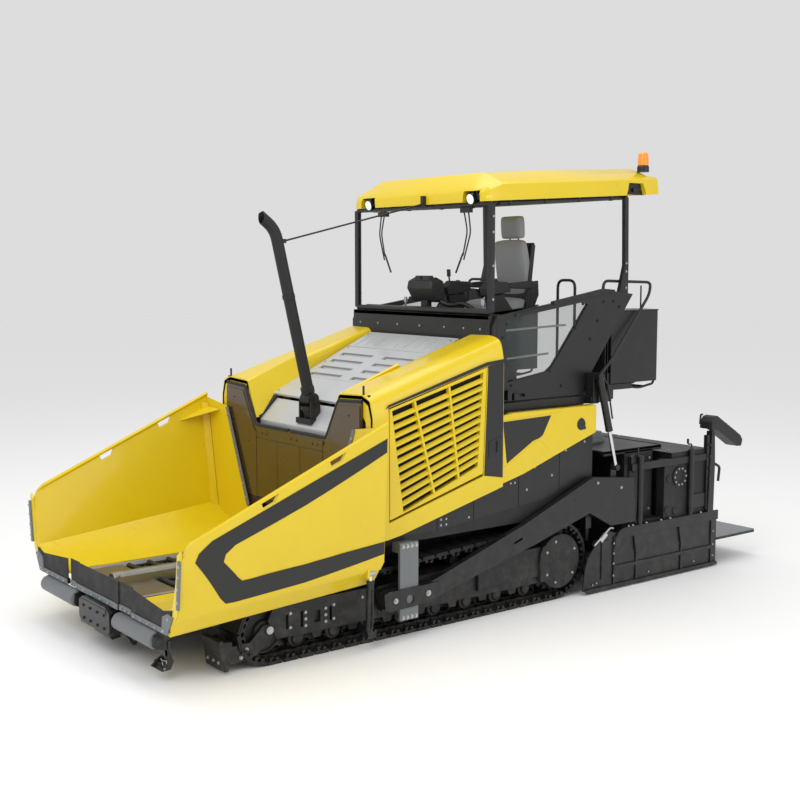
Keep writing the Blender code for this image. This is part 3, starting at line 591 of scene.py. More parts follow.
@dataclass
class Track:
    """One track with its shoes and links, wheels, rollers, side frame and scraper."""

    side: Side
    middle: float = 1.04
    half_width: float = 0.15
    idler: Flat = (-2.60, 0.27)
    sprocket: Flat = (0.61, 0.375)
    shoe_count: int = 56
    depth: float = 0.078

    def station(self, distance: float) -> Matrix:
        """Place on the track's outer face: local Y runs along it and local Z points out of it.

        Args:
            distance: How far round the loop from below the idler, in metres.

        Returns:
            The place as a matrix in the shared frame.
        """
        (iy, ir), (sy, sr) = self.idler, self.sprocket
        slope = math.atan2(sr - ir, sy - iy)
        run = sy - iy
        rear, front = (math.pi + 2 * slope) * sr, (math.pi - 2 * slope) * ir
        distance %= 2 * run + rear + front
        if distance < run:
            angle, centre = -math.pi / 2, (iy + distance, ir, ir)
        elif distance < run + rear:
            angle, centre = -math.pi / 2 + (distance - run) / sr, (sy, sr, sr)
        elif distance < 2 * run + rear:
            angle = math.pi / 2 + 2 * slope
            t = (distance - run - rear) / run
            centre = (sy + (iy - sy) * t, sr + (ir - sr) * t, sr + (ir - sr) * t)
        else:
            angle = math.pi / 2 + 2 * slope + (distance - 2 * run - rear) / ir
            centre = (iy, ir, ir)
        out = Vector((0, math.cos(angle), math.sin(angle)))
        along = Vector((0, -out.z, out.y))
        at = Vector((self.middle, centre[0], centre[1])) + out * centre[2]
        return Matrix.Translation(at) @ Matrix((Vector((1, 0, 0)), along, out)).transposed().to_4x4()

    @property
    def length(self) -> float:
        """Length of the loop along its outer face."""
        (iy, ir), (sy, sr) = self.idler, self.sprocket
        slope = math.atan2(sr - ir, sy - iy)
        return 2 * (sy - iy) + (math.pi + 2 * slope) * sr + (math.pi - 2 * slope) * ir

    def shoe(self) -> Shape:
        """One shoe with its pad, its two links and the lugs at its ends, about its own middle."""
        half = self.length / self.shoe_count / 2
        w = self.half_width
        shape = Shape().box((-w, w), (-half * 0.93, half * 0.93), (-0.031, -0.016))
        shape.box((-w + 0.004, w - 0.004), (-half * 0.86, half * 0.84), (-0.017, -0.001))
        link = [(-half * 1.05, -0.040), (-half * 0.6, -0.030), (half * 0.6, -0.030), (half * 1.05, -0.040)]
        link += [(half * 1.05, -0.062), (half * 0.4, -0.068), (-half * 0.4, -0.068), (-half * 1.05, -0.062)]
        for x in (-0.062, 0.040):
            shape.prism("x", link, x, x + 0.022)
        shape.rod((-0.075, 0, -0.050), (0.075, 0, -0.050), 0.012, 10)
        for s in (-1, 1):
            hook = [(-half * 0.62, -0.030), (-half * 0.62, -0.062), (-half * 0.2, -0.066), (-half * 0.2, -0.05)]
            shape.prism("x", hook + [(-half * 0.36, -0.046), (-half * 0.36, -0.030)], s * 0.112, s * 0.146)
            shape.prism("x", [(half * 0.1, -0.030), (half * 0.1, -0.058), (half * 0.45, -0.058),
                (half * 0.6, -0.030)], s * 0.112, s * 0.146)
            shape.rod((s * 0.08, half * 0.5, 0.0), (s * 0.08, half * 0.5, -0.006), 0.011, 10)
        return shape

    def chain(self) -> None:
        """Lay each shoe as a chord of the loop, so that its ends stay on or above the ground."""
        one, whole = self.shoe(), Shape()
        pitch = self.length / self.shoe_count
        for i in range(self.shoe_count):
            first, last = (self.station((i + end) * pitch).translation for end in (0, 1))
            along = (last - first).normalized()
            out = Vector((0, along.z, -along.y))
            turned = Matrix((Vector((1, 0, 0)), along, out)).transposed().to_4x4()
            whole.copied(one, Matrix.Translation((first + last) / 2) @ turned)
        name = f"track_chain_{self.side.tag}"
        piece_of(name, whole.mirrored(self.side), TRACK, "chassis", 1.8, [f"track_{self.side.tag}"], steps=1)

    def wheels(self) -> None:
        """Turn the idler, the sprocket with its teeth, and the rollers."""
        (iy, ir), (sy, sr) = self.idler, self.sprocket
        shape = Shape()
        rim = ir - self.depth
        profile = [(0, 0.04), (0.0, rim * 0.5), (0.03, rim * 0.55), (0.03, rim * 0.8), (0.01, rim * 0.86),
            (0.01, rim - 0.015)]
        profile += [(0.05, rim - 0.015), (0.055, rim), (0.145, rim), (0.15, rim - 0.015), (0.19, rim - 0.015)]
        profile += [(0.19, rim * 0.86), (0.17, rim * 0.8), (0.17, rim * 0.5), (0.2, rim * 0.45), (0.2, 0.04)]
        shape.turned(profile, (0.94, iy, ir), (1.2, iy, ir), 40)
        teeth = []
        for k in range(21):
            for part, radius in ((0.0, 0.262), (0.3, 0.262), (0.42, 0.296), (0.86, 0.296)):
                angle = 2 * math.pi * (k + part) / 21
                teeth.append((sy + radius * math.cos(angle), sr + radius * math.sin(angle)))
        shape.prism("x", teeth, 0.985, 1.095)
        flanged = [(0, 0.04), (0.0, 0.074), (0.022, 0.074), (0.03, 0.058), (0.13, 0.058), (0.138, 0.074),
            (0.16, 0.074)]
        flanged += [(0.165, 0.05), (0.185, 0.045), (0.19, 0.03)]
        for i in range(8):
            y = -2.28 + i * 0.36
            shape.turned(flanged, (0.95, y, 0.154), (1.2, y, 0.154), 24)
        for y in (-1.75, -0.60):
            top = ir * 2 - self.depth + (y - iy) / (sy - iy) * 2 * (sr - ir)
            shape.turned([(0, 0.03), (0, 0.05), (0.12, 0.05), (0.12, 0.03)], (0.98, y, top - 0.053),
                (1.2, y, top - 0.053), 20)
        piece_of(f"rollers_{self.side.tag}", shape.mirrored(self.side), TRACK, "chassis", 2.0)

    def side_frame(self) -> None:
        """Build the box beam between the wheels, its side plates and the final drive's cover."""
        sy, sr = self.sprocket
        beam = [(-2.44, 0.22), (-2.36, 0.19), (0.42, 0.19), (0.42, 0.50), (-0.2, 0.50), (-2.30, 0.41),
            (-2.44, 0.36)]
        shape = Shape().prism("x", beam, 0.915, 1.160)
        front = [(-2.58, 0.36), (-2.50, 0.20), (-2.30, 0.195), (-1.62, 0.195), (-1.56, 0.25), (-1.56, 0.47),
            (-2.52, 0.47)]
        shape.prism("x", front, 1.150, 1.172)
        shape.prism("x", [(-1.50, 0.21), (-0.42, 0.21), (-0.42, 0.50), (-1.50, 0.46)], 1.150, 1.166)
        arm = [(-0.375, 0.262), (0.42, 0.262), (0.42, 0.535), (-0.375, 0.535)]
        shape.prism("x", arm, 1.10, 1.186)
        shape.prism("x", [(-0.395, 0.245), (-0.355, 0.245), (-0.355, 0.55), (-0.395, 0.55)], 1.10, 1.194)
        cover = [(0, 0.2), (0.0, 0.252), (0.095, 0.262), (0.112, 0.256), (0.12, 0.236), (0.123, 0.10)]
        shape.turned(cover, (1.10, sy, sr), (1.3, sy, sr), 56)
        nose = [(sy - 0.25, sr - 0.165), (sy, sr - 0.20), (sy, sr + 0.20), (sy - 0.22, sr + 0.165),
            (sy - 0.25, sr + 0.10)]
        shape.prism("x", nose, 1.12, 1.212)
        shape.box((0.6, 0.915), (-1.9, -1.55), (0.26, 0.42)).box((0.6, 0.915), (-0.5, -0.15), (0.26, 0.42))
        shape.box((1.0, 1.06), (-1.79, -1.71), (0.40, 0.50)).box((1.0, 1.06), (-0.64, -0.56), (0.45, 0.56))
        for i in range(7):
            y = -2.10 + i * 0.36
            shape.prism("x", [(y - 0.06, 0.20), (y + 0.06, 0.20), (y + 0.035, 0.135), (y - 0.035, 0.135)],
                1.128, 1.146)
        openings = Shape()
        for y, z, tall in ((-2.40, 0.30, 0.12), (-2.26, 0.30, 0.13), (-1.98, 0.30, 0.12)):
            openings.box((1.140, 1.2), (y - 0.012, y + 0.012), (z - tall / 2 + 0.02, z + tall / 2 + 0.02))
        openings.box((1.140, 1.2), (-2.14, -2.08), (0.27, 0.37))
        name = f"side_frame_{self.side.tag}"
        node = f"track_frame_{self.side.tag}"
        piece_of(name, shape.mirrored(self.side), DUSTY, "chassis", 3.0, [node], openings.mirrored(self.side))
        self.fasteners(sy, sr)

    def fasteners(self, sy: float, sr: float) -> None:
        """Set the bolts and pins that stand out of the side frame and the final drive's cover."""
        shape = Shape()
        spots = [(1.172, y, z) for y in (-2.37, -1.95) for z in (0.27, 0.385)]
        spots += [(1.172, y, z) for y in (-2.225, -2.03) for z in (0.26, 0.315, 0.37)] + [(1.172, -1.66, 0.40)]
        shape.bolts(spots, (1, 0, 0), 0.010)
        ring = [(1.212, sy + 0.205 * math.cos(a), sr + 0.205 * math.sin(a)) for a in (2.6, 1.9, 0.5, -0.7,
            -1.9, -2.6)]
        shape.bolts([(x + 0.008, y, z) for x, y, z in ring], (1, 0, 0), 0.010)
        shape.rod((1.15, -2.567, 0.285), (1.186, -2.567, 0.285), 0.032, 24).rod((1.15, -2.567, 0.285),
            (1.19, -2.567, 0.285), 0.018, 16)
        shape.bolts([(1.168, -2.773, 0.165), (1.168, -2.825, 0.112)], (1, 0, 0), 0.013)
        piece_of(f"track_bolts_{self.side.tag}", shape.mirrored(self.side), ZINC, "chassis", 0.8, steps=1)

    def scraper(self) -> None:
        """Hang the blade that clears loose mix in front of the track."""
        arm = [(-2.62, 0.33), (-2.52, 0.33), (-2.53, 0.22), (-2.68, 0.10), (-2.88, 0.07), (-2.99, 0.13),
            (-2.99, 0.21), (-2.74, 0.215)]
        shape = Shape().prism("x", arm, 1.148, 1.168).prism("x", arm, 0.93, 0.95)
        blade = [(-3.03, 0.275), (-2.995, 0.285), (-2.96, 0.12), (-2.945, 0.03), (-2.985, 0.03), (-3.0, 0.12)]
        shape.prism("x", blade, 0.90, 1.19)
        shape.prism("x", [(-3.0, 0.14), (-2.90, 0.14), (-2.90, 0.25), (-2.99, 0.26)], 0.92, 1.17)
        piece_of(f"scraper_{self.side.tag}", shape.mirrored(self.side), DUSTY, "chassis", 3.0)
        spots = Shape().bolts([(x, -3.004, 0.10) for x in (0.97, 1.06, 1.14)], (0, -1, 0.1), 0.011)
        piece_of(f"scraper_bolts_{self.side.tag}", spots.mirrored(self.side), ZINC, "chassis", 0.6, steps=1)

    def build(self) -> None:
        """Build every piece of the track."""
        self.chain()
        self.wheels()
        self.side_frame()
        self.scraper()


# ---- chassis ----


@dataclass
class Chassis:
    """Main frame, conveyor tunnels and the lower body with its bolted panels."""

    half: float = 1.17
    front: float = -1.42
    rear: float = 1.02

    def build(self) -> None:
        """Dress the CAD frame and bolt the side panels on."""
        for node in ("chassis_frame", "tunnel_housing", "lower_body"):
            dressed(node, DUSTY)
        dressed("engine_block", GREY)
        for side in Side:
            self.panels(side)

    def panels(self, side: Side) -> None:
        """Add the side's cover panels, with their seams, and the bolts that hold them."""
        shape, bolts = Shape(), Shape()
        seams = [self.front, -0.86, -0.44, 0.10, 0.62, self.rear - 0.004]
        for y0, y1 in zip(seams, seams[1:]):
            low = [0.86 if y < -1.3 else 0.80 + 0.10 * (y + 1.42) for y in (y0, y1)]
            high = [min(1.545, 0.875 + 0.262 * (y + 1.35)) + (0.03 if y < 0 else 0.02) for y in (y0, y1)]
            outline = [(y0 + 0.003, low[0]), (y1 - 0.003, low[1]), (y1 - 0.003, high[1]), (y0 + 0.003, high[0])]
            shape.prism("x", outline, self.half, self.half + 0.006)
        for y, z in ((-0.82, 0.95), (-0.76, 0.95), (-0.82, 0.90), (-0.76, 0.90), (-0.50, 0.93), (0.0, 1.18),
            (0.05, 1.18)):
            bolts.bolt((self.half + 0.006, y, z), (1, 0, 0), 0.008)
        for y, z in ((0.20, 1.10), (0.52, 1.20), (0.70, 1.42), (0.95, 1.48), (0.30, 1.30)):
            bolts.bolt((self.half + 0.006, y, z), (1, 0, 0), 0.009)
        name = side.tag
        piece_of(f"lower_panels_{name}", shape.mirrored(side), BLACK, "chassis", 1.5)
        piece_of(f"lower_panel_bolts_{name}", bolts.mirrored(side), ZINC, "chassis", 0, steps=1)
        rib = Shape().box((0.9, 1.15), (1.02, 1.06), (0.50, 1.55)).box((1.10, 1.165), (1.0, 1.075),
            (0.62, 1.80))
        rib.pipe([(1.05, 0.95, 0.62), (1.05, 1.10, 0.56), (1.0, 1.12, 0.40)], 0.018, 0.04)
        piece_of(f"rear_struts_{name}", rib.mirrored(side), BLACK, "chassis", 3.0)


# ---- hopper ----


@dataclass
class HopperWing:
    """One folding side of the hopper with its rim, stripe, back plate, apron and cylinder."""

    side: Side
    front: float = -3.47
    rear: float = -1.64
    hinge: Flat = (0.60, 0.53)

    @property
    def body(self) -> str:
        """The CAD body that the wing rides on."""
        return f"wing_{self.side.tag}"

    def ring(self, y: float) -> list[Point]:
        """Section of the wing's shell at a distance along the machine, from the inner floor round the rim."""
        t = (y - self.front) / (self.rear - self.front)
        front = [(0.61, 0.556), (1.15, 0.57), (1.30, 0.65), (1.425, 1.085), (1.418, 1.112), (1.452, 1.125),
            (1.46, 1.108)]
        front += [(1.455, 1.07), (1.39, 0.60), (1.352, 0.545), (1.338, 0.548), (1.25, 0.415), (1.225, 0.43),
            (1.33, 0.58), (1.155, 0.535), (0.61, 0.52)]
        rear = [(0.61, 0.556), (1.15, 0.75), (1.31, 0.835), (1.478, 1.865), (1.462, 1.892), (1.492, 1.905),
            (1.508, 1.89)]
        rear += [(1.504, 1.82), (1.45, 0.75), (1.40, 0.675), (1.388, 0.678), (1.30, 0.55), (1.275, 0.565),
            (1.37, 0.715), (1.16, 0.718), (0.61, 0.52)]
        return [(a + (c - a) * t, y, b + (d - b) * t) for (a, b), (c, d) in zip(front, rear)]

    def face(self, y: float, share: float, out: float) -> Point:
        """A point on the outer face, by its share of the way down from the rim to the crease."""
        t = (y - self.front) / (self.rear - self.front)
        top = Vector((1.455 + 0.049 * t, 0, 1.07 + 0.75 * t))
        crease = Vector((1.39 + 0.06 * t, 0, 0.60 + 0.15 * t))
        at = top.lerp(crease, share)
        return (at.x + out, y, at.z - out * 0.1)

    def shell(self) -> None:
        """Loft the shell, round its front corner and cut the two hand slots under its rim."""
        stations = [self.front + (self.rear - self.front) * i / 8 for i in range(9)]
        shape = Shape().loft([self.ring(y) for y in stations])
        openings = Shape()
        for y in (-2.73, -2.12):
            rim = 1.125 + 0.426 * (y - self.front)
            slot = [(-0.055, -0.112), (0.045, -0.070), (0.078, -0.002), (-0.075, -0.066)]
            openings.prism("x", [(y + dy, rim + dz) for dy, dz in slot], 1.35, 1.62)
        openings.prism("x", [(self.front - 0.01, 1.02), (self.front + 0.004, 1.02), (self.front + 0.055, 1.12),
            (self.front + 0.11, 1.17), (self.front + 0.06, 1.25), (self.front - 0.01, 1.2)], 1.2, 1.6)
        name = f"wing_shell_{self.side.tag}"
        node = f"hopper_wing_{self.side.tag}"
        piece_of(name, shape.mirrored(self.side), YELLOW, self.body, 3.0, [node], openings.mirrored(self.side))

    def plates(self) -> None:
        """Add the rear plate, its gusset, the front edge flange and the lower rear corner."""
        y = self.rear
        back = [(0.62, 0.56), (1.16, 0.71), (1.33, 0.80), (1.478, 1.86), (1.07, 1.80), (0.70, 0.95)]
        shape = Shape().prism("y", back, y - 0.016, y - 0.004)
        shape.loft([[(1.47, y - 0.02, 1.76), (1.47, y - 0.34, 1.63), (1.20, y - 0.02, 1.75)],
            [(1.47, y - 0.02, 1.772), (1.47, y - 0.34, 1.642), (1.20, y - 0.02, 1.762)]])
        fold = [(1.25, 0.80), (1.30, 0.84), (1.46, 1.80), (1.42, 1.80)]
        shape.loft([[(x, y - 0.02, z) for x, z in fold], [(x + 0.02, y - 0.08, z) for x, z in fold]])
        edge = [(1.20, 0.425), (1.245, 0.425), (1.385, 0.61), (1.452, 1.06), (1.445, 1.10), (1.40, 1.06),
            (1.345, 0.66), (1.30, 0.58), (1.19, 0.46)]
        shape.prism("y", edge, self.front - 0.008, self.front + 0.01)
        for station in (-3.2, -1.95):
            shape.rod((self.hinge[0], station, self.hinge[1]), (self.hinge[0], station + 0.2, self.hinge[1]),
                0.0195, 20)
        shape.box((1.345, 1.425), (-1.785, -1.765), (0.625, 0.775))
        piece_of(f"wing_plates_{self.side.tag}", shape.mirrored(self.side), YELLOW, self.body, 2.0)

    def stripe(self) -> None:
        """Lay the charcoal band that runs under the rim, down the front and back along the crease."""
        outer = [(-1.645, 0.045), (-2.4, 0.045), (-3.22, 0.05), (-3.325, 0.13), (-3.352, 0.24), (-3.13, 0.90),
            (-3.085, 0.985), (-3.0, 0.995), (-2.4, 0.99), (-1.645, 0.935)]
        inner = [(-1.645, 0.15), (-2.4, 0.23), (-3.02, 0.27), (-3.10, 0.33), (-3.115, 0.42), (-2.985, 0.70),
            (-2.95, 0.755), (-2.89, 0.765), (-2.4, 0.81), (-1.645, 0.84)]
        shape = Shape()
        fine_outer, fine_inner = self.fine(outer), self.fine(inner)
        rings = []
        for (ya, va), (yb, vb) in zip(fine_outer, fine_inner):
            spots = [(ya + (yb - ya) * k / 6, va + (vb - va) * k / 6) for k in range(7)]
            skin = [self.face(y, v, 0.0035) for y, v in spots]
            rings.append(skin + [self.face(y, v, 0.0004) for y, v in reversed(spots)])
        shape.loft(rings)
        piece_of(f"wing_stripe_{self.side.tag}", shape.mirrored(self.side), CHARCOAL, self.body, 0)

    @staticmethod
    def fine(points: Sequence[Flat]) -> list[Flat]:
        """Split each step of an outline in four."""
        made = []
        for (a, b), (c, d) in zip(points, points[1:]):
            made += [(a + (c - a) * i / 4, b + (d - b) * i / 4) for i in range(4)]
        return made + [points[-1]]

    def strips(self) -> None:
        """Bolt on the sealing strips of the rear plate and of the front edge, and hang the rubber apron."""
        y = self.rear
        seal = [(0.655, 0.90), (0.70, 0.88), (1.075, 1.79), (1.035, 1.80)]
        shape = Shape().prism("y", seal, y - 0.024, y - 0.014)
        front = [(1.395, 0.66), (1.43, 0.66), (1.468, 1.03), (1.43, 1.03)]
        shape.prism("y", front, self.front - 0.022, self.front - 0.006)
        shape.prism("y", [(1.15, 0.43), (1.24, 0.43), (1.33, 0.58), (1.26, 0.60), (1.17, 0.56)],
            self.front - 0.022, self.front - 0.006)
        piece_of(f"wing_strips_{self.side.tag}", shape.mirrored(self.side), GREY, self.body, 1.5)
        bolts = Shape()
        for i in range(7):
            t = (i + 0.5) / 7
            bolts.bolt((0.677 + 0.38 * t, y - 0.024, 0.90 + 0.88 * t), (0, -1, 0), 0.010)
        for x, z in ((1.42, 0.72), (1.43, 0.82), (1.44, 0.91), (1.45, 0.99), (1.20, 0.46), (1.27, 0.56)):
            bolts.bolt((x, self.front - 0.022, z), (0, -1, 0), 0.010)
        piece_of(f"wing_bolts_{self.side.tag}", bolts.mirrored(self.side), ZINC, self.body, 0)
        rubber = [(0.62, 0.455), (1.27, 0.455), (1.30, 0.63), (1.16, 0.60), (0.62, 0.655)]
        flap = Shape().prism("y", rubber, self.front - 0.012, self.front - 0.003)
        flap.prism("y", [(0.62, 0.43), (1.23, 0.43), (1.24, 0.475), (0.62, 0.475)], self.front - 0.012,
            self.front + 0.011)
        piece_of(f"wing_apron_{self.side.tag}", flap.mirrored(self.side), RUBBER, self.body, 1.5)
        clamp = Shape().box((0.63, 1.22), (self.front - 0.020, self.front - 0.012), (0.427, 0.470))
        piece_of(f"wing_apron_clamp_{self.side.tag}", clamp.mirrored(self.side), GREY, self.body, 1.5)
        heads = Shape().bolts([(0.69 + i * 0.12, self.front - 0.020, 0.447) for i in range(5)], (0, -1, 0),
            0.009)
        piece_of(f"wing_apron_bolts_{self.side.tag}", heads.mirrored(self.side), ZINC, self.body, 0)

    def cylinder(self) -> None:
        """Dress the lift cylinder: barrel with its gland and hose ends, chromed rod and pins."""
        tag = self.side.tag
        foot, eye = Vector((1.36, -1.73, 0.14)), Vector((1.385, -1.73, 0.655))
        along = (eye - foot).normalized()
        barrel = Shape().rod(tuple(foot), tuple(foot + along * 0.44), 0.031, 28)
        barrel.rod(tuple(foot + along * 0.43), tuple(foot + along * 0.452), 0.034, 28)
        barrel.rod(tuple(foot - Vector((0, 0.034, 0))), tuple(foot + Vector((0, 0.034, 0))), 0.036, 24)
        barrel.rod(tuple(foot + along * 0.06), tuple(foot + along * 0.06 + Vector((0.04, 0, 0))), 0.011, 12)
        barrel.pipe([tuple(foot + along * 0.06 + Vector((0.04, 0, 0))),
            tuple(foot + along * 0.12 + Vector((0.045, 0.0, 0))),
                tuple(foot + along * 0.38 + Vector((0.038, 0, 0)))], 0.007, 0.02, 8)
        piece_of(f"wing_barrel_{tag}_dressed", barrel.mirrored(self.side), BLACK, f"wing_barrel_{tag}", 1.5,
            [f"wing_cylinder_{tag}_barrel"])
        rod = Shape().rod(tuple(foot + along * 0.3), tuple(eye), 0.0165, 24)
        piece_of(f"wing_rod_{tag}_dressed", rod.mirrored(self.side), CHROME, f"wing_rod_{tag}", 0,
            [f"wing_cylinder_{tag}_rod"])
        end = Shape().turned([(0, 0.02), (0, 0.026), (0.06, 0.026), (0.06, 0.02)],
            tuple(eye - Vector((0, 0.03, 0))), tuple(eye), 20)
        piece_of(f"wing_rod_eye_{tag}", end.mirrored(self.side), ZINC, f"wing_rod_{tag}", 1.0)
        dressed(f"cylinder_foot_{tag}", BLACK)

    def build(self) -> None:
        """Build every piece of the wing."""
        self.shell()
        self.plates()
        self.stripe()
        self.strips()
        self.cylinder()


@dataclass
class HopperFloor:
    """Conveyor floor between the wings, the middle apron and the bulkhead behind it."""

    half: float = 0.578
    front: float = -3.44
    rear: float = -1.632

    def build(self) -> None:
        """Build the floor plates, the conveyor bars, the aprons and the bulkhead."""
        plates = Shape()
        for s in (-1, 1):
            plates.box((s * 0.07, s * 0.53), (self.front, self.rear), (0.47, 0.515))
        plates.box((-0.578, 0.578), (self.front, -3.02), (0.50, 0.545))
        plates.box((-0.578, 0.578), (-2.18, self.rear), (0.495, 0.535))
        piece_of("conveyor_plates", plates, HOTPLATE, "chassis", 2.0, ["hopper_floor"])
        rails = Shape()
        for s in (-1, 1):
            rails.prism("y", [(s * 0.53, 0.465), (s * 0.578, 0.465), (s * 0.578, 0.556), (s * 0.55, 0.56),
                (s * 0.53, 0.53)], self.front, self.rear)
        rails.prism("y", [(-0.065, 0.465), (0.065, 0.465), (0.052, 0.60), (0.03, 0.628), (-0.03, 0.628),
            (-0.052, 0.60)], -3.36, self.rear)
        rails.prism("x", [(-3.40, 0.50), (-3.36, 0.50), (-3.30, 0.625), (-3.36, 0.60)], -0.058, 0.058)
        piece_of("conveyor_rails", rails, BARE, "chassis", 3.0)
        bars = Shape()
        for s in (-1, 1):
            for i in range(5):
                y = -2.96 + i * 0.19
                bars.rod((s * 0.08, y, 0.535), (s * 0.525, y, 0.535), 0.022, 14)
                bars.box((s * 0.08, s * 0.525), (y + 0.02, y + 0.075), (0.516, 0.527))
            for x in (0.11, 0.495):
                for i in range(16):
                    y = -2.98 + i * 0.055
                    bars.box((s * (x - 0.015), s * (x + 0.015)), (y, y + 0.036), (0.514, 0.536))
        piece_of("conveyor_bars", bars, TRACK, "chassis", 1.5, steps=1)
        self.apron()
        self.bulkhead()

    def apron(self) -> None:
        """Hang the middle apron in front of the conveyors, in three overlapping flaps."""
        flaps = Shape()
        for x0, x1, y in ((-0.60, -0.42, -3.462), (-0.47, 0.37, -3.474), (0.36, 0.60, -3.462)):
            flaps.box((x0, x1), (y, y + 0.010), (0.455, 0.655))
        flaps.box((-0.60, 0.60), (-3.452, -3.43), (0.43, 0.50))
        for s in (-1, 1):
            flaps.prism("x", [(-3.452, 0.50), (-3.44, 0.50), (-3.40, 0.56), (-3.452, 0.65)], s * 0.36,
                s * 0.372)
        piece_of("apron_flaps", flaps, RUBBER, "chassis", 1.5)
        strip = Shape()
        for x0, x1, y in ((-0.60, -0.42, -3.470), (-0.47, 0.37, -3.484), (0.36, 0.60, -3.470)):
            strip.prism("y", [(x0, 0.425), (x1, 0.425), (x1, 0.468), (x1 - 0.04, 0.475), (x0 + 0.04, 0.475),
                (x0, 0.468)], y, y + 0.008)
        piece_of("apron_clamps", strip, GREY, "chassis", 1.5)
        spots = [(x, -3.484, 0.447) for x in (-0.43, -0.29, -0.12, 0.05, 0.20, 0.33)] + [(x, -3.470,
            0.447) for x in (-0.56, -0.51, 0.41, 0.50, 0.57)]
        piece_of("apron_bolts", Shape().bolts(spots, (0, -1, 0), 0.009), ZINC, "chassis", 0)

    def bulkhead(self) -> None:
        """Build the bulkhead with its doors' seams, tunnel mouths and the rubber along its top."""
        y = self.rear + 0.002
        wall = [(-1.11, 0.82), (-0.62, 0.82), (-0.62, 0.485), (0.62, 0.485), (0.62, 0.82), (1.11, 0.82)]
        wall += [(1.11, 2.03), (0.78, 2.01), (0.585, 1.665), (-0.585, 1.665), (-0.78, 2.01), (-1.11, 2.03)]
        mouths = Shape()
        for s in (-1, 1):
            mouths.box((s * 0.06, s * 0.545), (y - 0.1, y + 0.1), (0.54, 0.95))
        # The bulkhead plate and doors take a painted reflection: their dark bronze-brown stands for what they face.
        piece_of("bulkhead_plate", Shape().prism("y", wall, y + 0.006, -1.601), REFLECTED_BRONZE, "chassis", 2.0,
            ["bulkhead"], mouths)
        doors = Shape()
        edges = [-0.553, -0.19, 0.19, 0.553]
        for x0, x1 in zip(edges, edges[1:]):
            doors.box((x0 + 0.003, x1 - 0.003), (y - 0.004, y + 0.008), (0.99, 1.545))
        for s in (-1, 1):
            doors.prism("y", [(s * 0.56, 0.99), (s * 1.10, 0.99), (s * 1.10, 1.99), (s * 0.80, 1.975),
                (s * 0.605, 1.63), (s * 0.56, 1.60)], y - 0.004, y + 0.008)
        doors.box((-0.553, 0.553), (y - 0.004, y + 0.008), (1.551, 1.64))
        piece_of("bulkhead_doors", doors, REFLECTED_BRONZE, "chassis", 2.5)
        trim = Shape()
        for s in (-1, 1):
            trim.pipe([(s * 0.02, y + 0.016, 1.668), (s * 0.583, y + 0.016, 1.668),
                (s * 0.775, y + 0.016, 2.012), (s * 1.11, y + 0.016, 2.03)], 0.017, 0.03, 10)
            trim.box((s * 0.545, s * 0.585), (y - 0.02, y + 0.01), (0.52, 0.96)).box((s * 0.02, s * 0.06),
                (y - 0.02, y + 0.01), (0.52, 0.96))
        trim.box((-0.585, 0.585), (y - 0.02, y + 0.01), (0.95, 0.985))
        piece_of("bulkhead_trim", trim, RUBBER, "chassis", 2.0)
        spots = [(x, y - 0.004, 1.60) for x in (-0.45, -0.36, 0.05, 0.14, 0.40, 0.48)]
        spots += [(s * x, y - 0.004, z) for s in (-1, 1) for x, z in ((0.95, 1.9), (0.7, 1.5), (0.95, 1.3))]
        piece_of("bulkhead_bolts", Shape().bolts(spots, (0, -1, 0), 0.006), BLACK, "chassis", 0)


